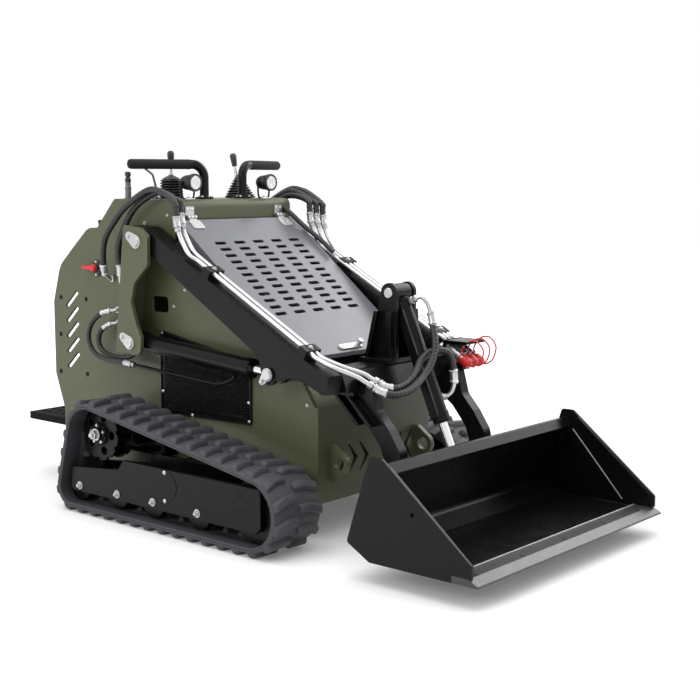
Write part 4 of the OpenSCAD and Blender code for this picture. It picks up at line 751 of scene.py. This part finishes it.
# Keepers of the pivot pins, and of the lift rods' eyes
KEEPER_Y, EYE, EYE_BOLT = 338.5, (214, 466), (196, 446)
for side, name in SIDES:
    out = Y * side
    keepers = Piece(f"keepers_{name}", "plate_zinc", slot="zinc")
    pins = Piece(f"pin_heads_{name}", "zinc")
    for pin in (LIFT_PIN, RAM_PIN):
        lobe = (pin[0] - 30, pin[1] + 17)
        side_plate(keepers, drop(pin, 20, lobe, 13), side, side * KEEPER_Y)
        pins.bolt((lobe[0], side * (KEEPER_Y + 5.5), lobe[1]), out, 6.4, 1.4, 0.5)
        pins.lathe((pin[0], side * WALL, pin[1]), out,
                   [(0, 1), (0, 15), (97, 15), (99, 13.6), (99, 3.6), (98, 3), (98, 0.5)], 30)
    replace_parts(pins.end(), f"pivot_pins_{name}")
    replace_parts(keepers.end(), f"pivot_pins_{name}")
    eye = Piece(f"eye_keeper_{name}", "zinc", "loader_arm")
    face = on_side(f"arm_{name}", side, *EYE)
    eye.lathe(face - out, out, [(0, 19), (5, 19), (6, 18), (6, 15.5), (8.4, 15.5), (9.4, 14.4), (9.4, 0.5)], 32)
    side_plate(eye, drop(EYE, 17, EYE_BOLT, 10), side, face.y - side)
    eye.bolt((EYE_BOLT[0], face.y + side * 5, EYE_BOLT[1]), out, 6, 1.3, 0.2)
    eye.end()

# The radiator screen: a fine mesh in its frame
CORNERS = ((-308, 290), (-308, 544), (-40, 500), (77, 435), (77, 299))
MESH, MESH_Y = 8.2, -WALL - 6.2


def between(a, b, x):
    """The height at x of a line through two points."""
    return a[1] + (x - a[0]) * (b[1] - a[1]) / (b[0] - a[0])


screen = Piece("radiator_mesh", "black_paint", crease=60)
heel, peak, bend, toe, tip = CORNERS
for k in range(44):
    x = -290 + MESH * k
    low = between(heel, tip, x) + 14
    top = (between(peak, bend, x) if x < bend[0] else between(bend, toe, x)) - 15
    screen.tube([Vector((x, MESH_Y, low)), Vector((x, MESH_Y, top))], 1.5, 4)
for k in range(29):
    z = 306 + MESH * k
    if z < 428:
        last = 62
    elif z < 484:
        last = between(toe[::-1], bend[::-1], z + 15)
    else:
        last = between(bend[::-1], peak[::-1], z + 15)
    if last > -280:
        screen.tube([Vector((-293, MESH_Y - 0.8, z)), Vector((last, MESH_Y - 0.8, z))], 1.5, 4)
rim = [(-306, 292), (-306, 541), (-40, 497), (75, 433), (75, 301)]
for i, a in enumerate(rim):
    b = rim[(i + 1) % len(rim)]
    screen.tube([Vector((a[0], MESH_Y, a[1])), Vector((b[0], MESH_Y, b[1]))], 2.2, 8)
screen.end()
bolts = Piece("screen_bolts", "zinc")
for x, z in ((-300, 536), (-299, 358), (-170, 298), (68, 362), (70, 307), (20, 462)):
    bolts.lathe((x, MESH_Y + 1, z), -Y, [(0, 6), (1.6, 6), (3, 4.8), (3.8, 2.4), (4, 0.5)], 18)
bolts.end()

# Hood: hinge leaves, their screws and a latch with its knob
HOOD_FALL, HOOD_NOSE = math.radians(38.26), (248, 503)
HINGE_Y, LATCH_X, LEAF = 191, 233, 3.4
SCREW = [(0, 4.6), (1, 4.6), (2.4, 3), (2.6, 0.5)]
DOWN = Vector((math.cos(HOOD_FALL), 0, -math.sin(HOOD_FALL)))
OUT = Vector((math.sin(HOOD_FALL), 0, math.cos(HOOD_FALL)))
leaves = Piece("hood_leaves", "plate_zinc", "hood", slot="zinc")
screws = Piece("hood_screws", "zinc", "hood")
console_screws = Piece("hinge_screws", "zinc")
for side, _ in SIDES:
    root = Vector((-230, side * HINGE_Y, 880))
    leaves.prism([(-13, 6), (-13, -8), (-22, -14), (-22, -44), (-18, -48), (18, -48), (22, -44), (22, -14), (13, -8),
                  (13, 6)], root, Y, -DOWN, LEAF, 0.6)
    leaves.lathe(root + Z * 4 - Y * 5.5, Y, [(0, 1), (0, 6.5), (11, 6.5), (11, 1)], 20)
    for off in (-13, 13):
        at = root + DOWN * 30 + OUT * LEAF + Y * off
        screws.lathe(at - OUT * 0.5, OUT, SCREW, 16)
        at = hit("hood_hinges", (0, side * HINGE_Y + off * 0.7, 906), -X)
        console_screws.lathe(at - X * 0.5, X, SCREW, 16)
console_screws.end()
screws.end()
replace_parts(leaves.end(), "hood_hardware")
latch = Piece("hood_latch", "plate_zinc", "hood", slot="zinc")
spot = Vector((LATCH_X, 0, HOOD_NOSE[1] + (HOOD_NOSE[0] - LATCH_X) * math.tan(HOOD_FALL)))
latch.prism(arc(38, 0, 9.5, -90, 90) + arc(-42, 0, 9.5, 90, 270), spot, Y, -DOWN, 5, 1)
latch.lathe(spot + Y * 32, OUT, [(0, 8), (7, 8), (8, 6), (14, 6), (15, 9), (21, 9), (22.4, 8), (22.4, 0.5)], 24)
latch.lathe(spot - Y * 40, OUT, [(0, 5.4), (5.6, 5.4), (6.2, 4.6), (5.2, 3.4), (5.2, 0.5)], 18)
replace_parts(latch.end(), "hood_hardware")

# Pin of the tower, screws of the tube clamps
pin = Piece("tower_pin_ends", "zinc", "loader_arm")
square = Vector((math.sin(ARM_FALL), 0, math.cos(ARM_FALL)))
for side, name in SIDES:
    at = on_side("tower_pin", side, TOWER_PIN.x, TOWER_PIN.z)
    pin.lathe(at - Y * side, Y * side, [(0, 14.6), (2, 14.6), (3.4, 13), (3.4, 3.4), (2.4, 3), (2.4, 0.5)], 30)
    for x in CLAMPS:
        spot = Vector((x, side * ARM_Y, beam_top(x))) + square * 90
        pin.bolt(hit(f"arm_{name}", spot, -square), square, 5, 1.4, 0.3)
pin.end()

# Couplers with dust caps on cords, under a plate
COUPLER_DIP, COUPLER_ROWS = math.radians(33), (200, 230, 260)
FORE = Vector((math.cos(COUPLER_DIP), 0, -math.sin(COUPLER_DIP)))
RISE = Vector((math.sin(COUPLER_DIP), 0, math.cos(COUPLER_DIP)))
bodies = Piece("couplers", "zinc", "loader_arm")
caps = Piece("coupler_caps", "red_plastic", "loader_arm")
for i, y in enumerate(COUPLER_ROWS):
    foot = Vector((440, y, 512))
    bodies.lathe(foot, FORE, [(-4, 13), (2, 14.6), (14, 14.6), (16, 13), (16, 1)], 6, 0.3)
    bodies.lathe(foot, FORE, [(10, 12), (18, 12), (20, 13.6), (22, 13.6), (23, 13), (25, 13), (26, 13.6), (28, 13.6),
                              (29, 13), (31, 13), (32, 13.6), (46, 13.6), (48, 12), (63, 12), (63, 1)], 30)
    caps.lathe(foot, FORE, [(60, 13), (61, 15.4), (63, 16), (74, 16), (75, 15), (77, 15), (78, 16), (86, 15.6),
                            (89, 13.6), (90, 11), (90, 0.5)], 30)
    caps.lathe(foot, FORE, [(50, 12), (50.4, 13.8), (53.6, 13.8), (54, 12)], 24)
    bow = [foot + FORE * fore + RISE * rise + Y * across for fore, rise, across in
           ((52, 13, 0), (44, 24, -4), (42, 46 + 5 * i, 4), (62, 64 + 5 * i, 14), (94, 56 + 3 * i, 18),
            (108, 28, 12), (101, 7, 3), (88, 0, 0))]
    caps.tube(curve(bow, 3), 2.4, 10)
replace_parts(bodies.end(), "coupler_block")
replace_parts(caps.end(), "coupler_block")
rest = Piece("coupler_rest", "black_paint", "loader_arm")
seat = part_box("cross_member")[1][2] / MM - 1
rest.block((428, 186, seat), (440, 274, 532))
rest.block((428, 186, 524), (514, 274, 532))
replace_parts(rest.end(), "coupler_block")

# Glands of the lift cylinders and of the tilt cylinder
RAM_AXIS = Vector((math.cos(RAM_TURN), 0, math.sin(RAM_TURN)))
TILT_AXIS = (TILT_EYE - TOWER_PIN).normalized()
for side, name in SIDES:
    ring = Piece(f"gland_{name}", "black_paint", f"lift_barrel_{name}")
    ring.lathe(Vector((RAM_PIN[0], side * ARM_Y, RAM_PIN[1])) + RAM_AXIS * 452, RAM_AXIS,
               [(0, 26.6), (1, 28.6), (20, 28.6), (21, 27), (22, 27), (23, 28.4), (25, 28), (25.6, 24), (25.6, 18),
                (24, 14.6)], 40).end()
ring = Piece("gland_tilt", "black_paint", "tilt_barrel")
ring.lathe(TOWER_PIN + TILT_AXIS * 356, TILT_AXIS,
           [(0, 22.6), (1, 25), (26, 25), (27, 23.6), (29, 23.6), (30, 24.6), (31, 22), (31, 16), (29, 13)], 40).end()

# Bucket: weld beads; the beads along the lip are coloured light grey as a painted highlight
WELD_Y, WELD_STEP, RIPPLE = 441, 2.2, 6.6


def bead(piece, points, r):
    """A rippled weld bead through the points."""
    piece.tube(curve(points, WELD_STEP), r, 8, lambda run, a: 0.5 * math.cos(run * 2 * math.pi / RIPPLE))


welds = Piece("bucket_welds", "black_paint", "bucket", crease=70)
for side, _ in SIDES:
    bead(welds, [(x, side * WELD_Y, z) for x, z in ((688, 262), (668, 206), (640, 130), (630, 106))], 3.2)
    bead(welds, [(x, side * WELD_Y, z) for x, z in ((690, 68), (760, 67.6), (850, 67.6), (926, 67.6))], 3.2)
welds.end()
# Beads along the lip, coloured light grey as a painted highlight of its edges
lip = Piece("edge_weld_highlight", "painted_highlight_steel", "bucket", slot="edge_steel", crease=70)
for side, _ in SIDES:
    slope = ((722, 268), (775, 210), (835, 144), (889, 84))
    bead(lip, [hit("bucket", (x, 0, z), Y * side) for x, z in slope], 2)
bead(lip, [(931, y, 76) for y in (-430, -200, 0, 200, 430)], 2.6)
lip.end()


# Floor, background and light
def seen(nodes, links):
    """1 where the camera, a reflection or glass looks at a surface, 0 where the surface lights others."""
    rays = nodes.new("ShaderNodeLightPath")
    total = rays.outputs["Is Camera Ray"]
    for kind in ("Is Glossy Ray", "Is Transmission Ray"):
        both = nodes.new("ShaderNodeMath")
        both.operation = "MAXIMUM"
        links.new(total, both.inputs[0])
        links.new(rays.outputs[kind], both.inputs[1])
        total = both.outputs[0]
    return total


floor_mesh = bpy.data.meshes.new("floor")
floor_mesh.from_pydata([(12 * x, 12 * y, -0.0005) for x, y in ((-1, -1), (1, -1), (1, 1), (-1, 1))], [],
                       [(0, 1, 2, 3)])
floor = bpy.data.objects.new("floor", floor_mesh)
scene.collection.objects.link(floor)
floor_mesh.materials.append(look("floor", (0.8, 0.8, 0.8), 0.9, vary=0.0, smudge=0.02))
nodes, links = floor_mesh.materials[0].node_tree.nodes, floor_mesh.materials[0].node_tree.links
paper = nodes["Principled BSDF"]
paper.inputs["Emission Color"].default_value = (1, 1, 1, 1)
paper.inputs["Specular IOR Level"].default_value = 0.0
# The floor glows more with distance, so that it runs into the white background without a line
away = nodes.new("ShaderNodeVectorMath")
away.operation = "LENGTH"
links.new(nodes["Texture Coordinate"].outputs["Object"], away.inputs[0])
glow = nodes.new("ShaderNodeMapRange")
glow.interpolation_type = "SMOOTHSTEP"
glow.inputs["From Min"].default_value = 1.3
glow.inputs["From Max"].default_value = 4.0
glow.inputs["To Min"].default_value = 0.13
glow.inputs["To Max"].default_value = 0.7
links.new(away.outputs["Value"], glow.inputs["Value"])
shown = nodes.new("ShaderNodeMath")
shown.operation = "MULTIPLY"
links.new(glow.outputs[0], shown.inputs[0])
links.new(seen(nodes, links), shown.inputs[1])
links.new(shown.outputs[0], paper.inputs["Emission Strength"])

world = bpy.data.worlds.new("studio")
scene.world = world
world.use_nodes = True
nodes, links = world.node_tree.nodes, world.node_tree.links
sky = nodes["Background"]
place = nodes.new("ShaderNodeTexCoord")
split = nodes.new("ShaderNodeSeparateXYZ")
links.new(place.outputs["Generated"], split.inputs[0])
rise = nodes.new("ShaderNodeMapRange")
rise.interpolation_type = "SMOOTHSTEP"
rise.inputs["From Min"].default_value = 0.1
rise.inputs["From Max"].default_value = 0.75
rise.inputs["To Min"].default_value = 0.3
rise.inputs["To Max"].default_value = 1.15
links.new(split.outputs["Z"], rise.inputs["Value"])
links.new(rise.outputs[0], sky.inputs[1])
sky.inputs[0].default_value = (0.97, 0.98, 1.0, 1)
backdrop = nodes.new("ShaderNodeBackground")
backdrop.inputs[0].default_value = (1, 1, 1, 1)
backdrop.inputs[1].default_value = 1.0
blend = nodes.new("ShaderNodeMixShader")
links.new(seen(nodes, links), blend.inputs[0])
links.new(sky.outputs[0], blend.inputs[1])
links.new(backdrop.outputs[0], blend.inputs[2])
links.new(blend.outputs[0], nodes["World Output"].inputs[0])


def area_light(name, at, aim, size, power, gloss_only=False):
    """A rectangle of light, in metres and watts, that may show in reflections only."""
    data = bpy.data.lights.new(name, "AREA")
    data.shape = "RECTANGLE"
    data.size, data.size_y = size
    data.energy = power
    made = bpy.data.objects.new(name, data)
    made.location = at
    made.rotation_mode = "QUATERNION"
    made.rotation_quaternion = (Vector(aim) - Vector(at)).to_track_quat("-Z", "Y")
    made.visible_diffuse = not gloss_only
    scene.collection.objects.link(made)


area_light("overhead", (0.2, -0.3, 4.0), (0, 0, 0), (5, 4), 110)
area_light("back", (0.4, 3.6, 3.4), (0.2, 0, 0.4), (3.2, 1.6), 40)
area_light("strip", (1.6, 3.6, 2.5), (0.6, 0, 0.3), (4.6, 2.0), 70, gloss_only=True)
area_light("side", (-1.0, -4.5, 2.6), (-0.1, 0, 0.5), (3, 1.6), 60)

scene.view_settings.view_transform = "Standard"
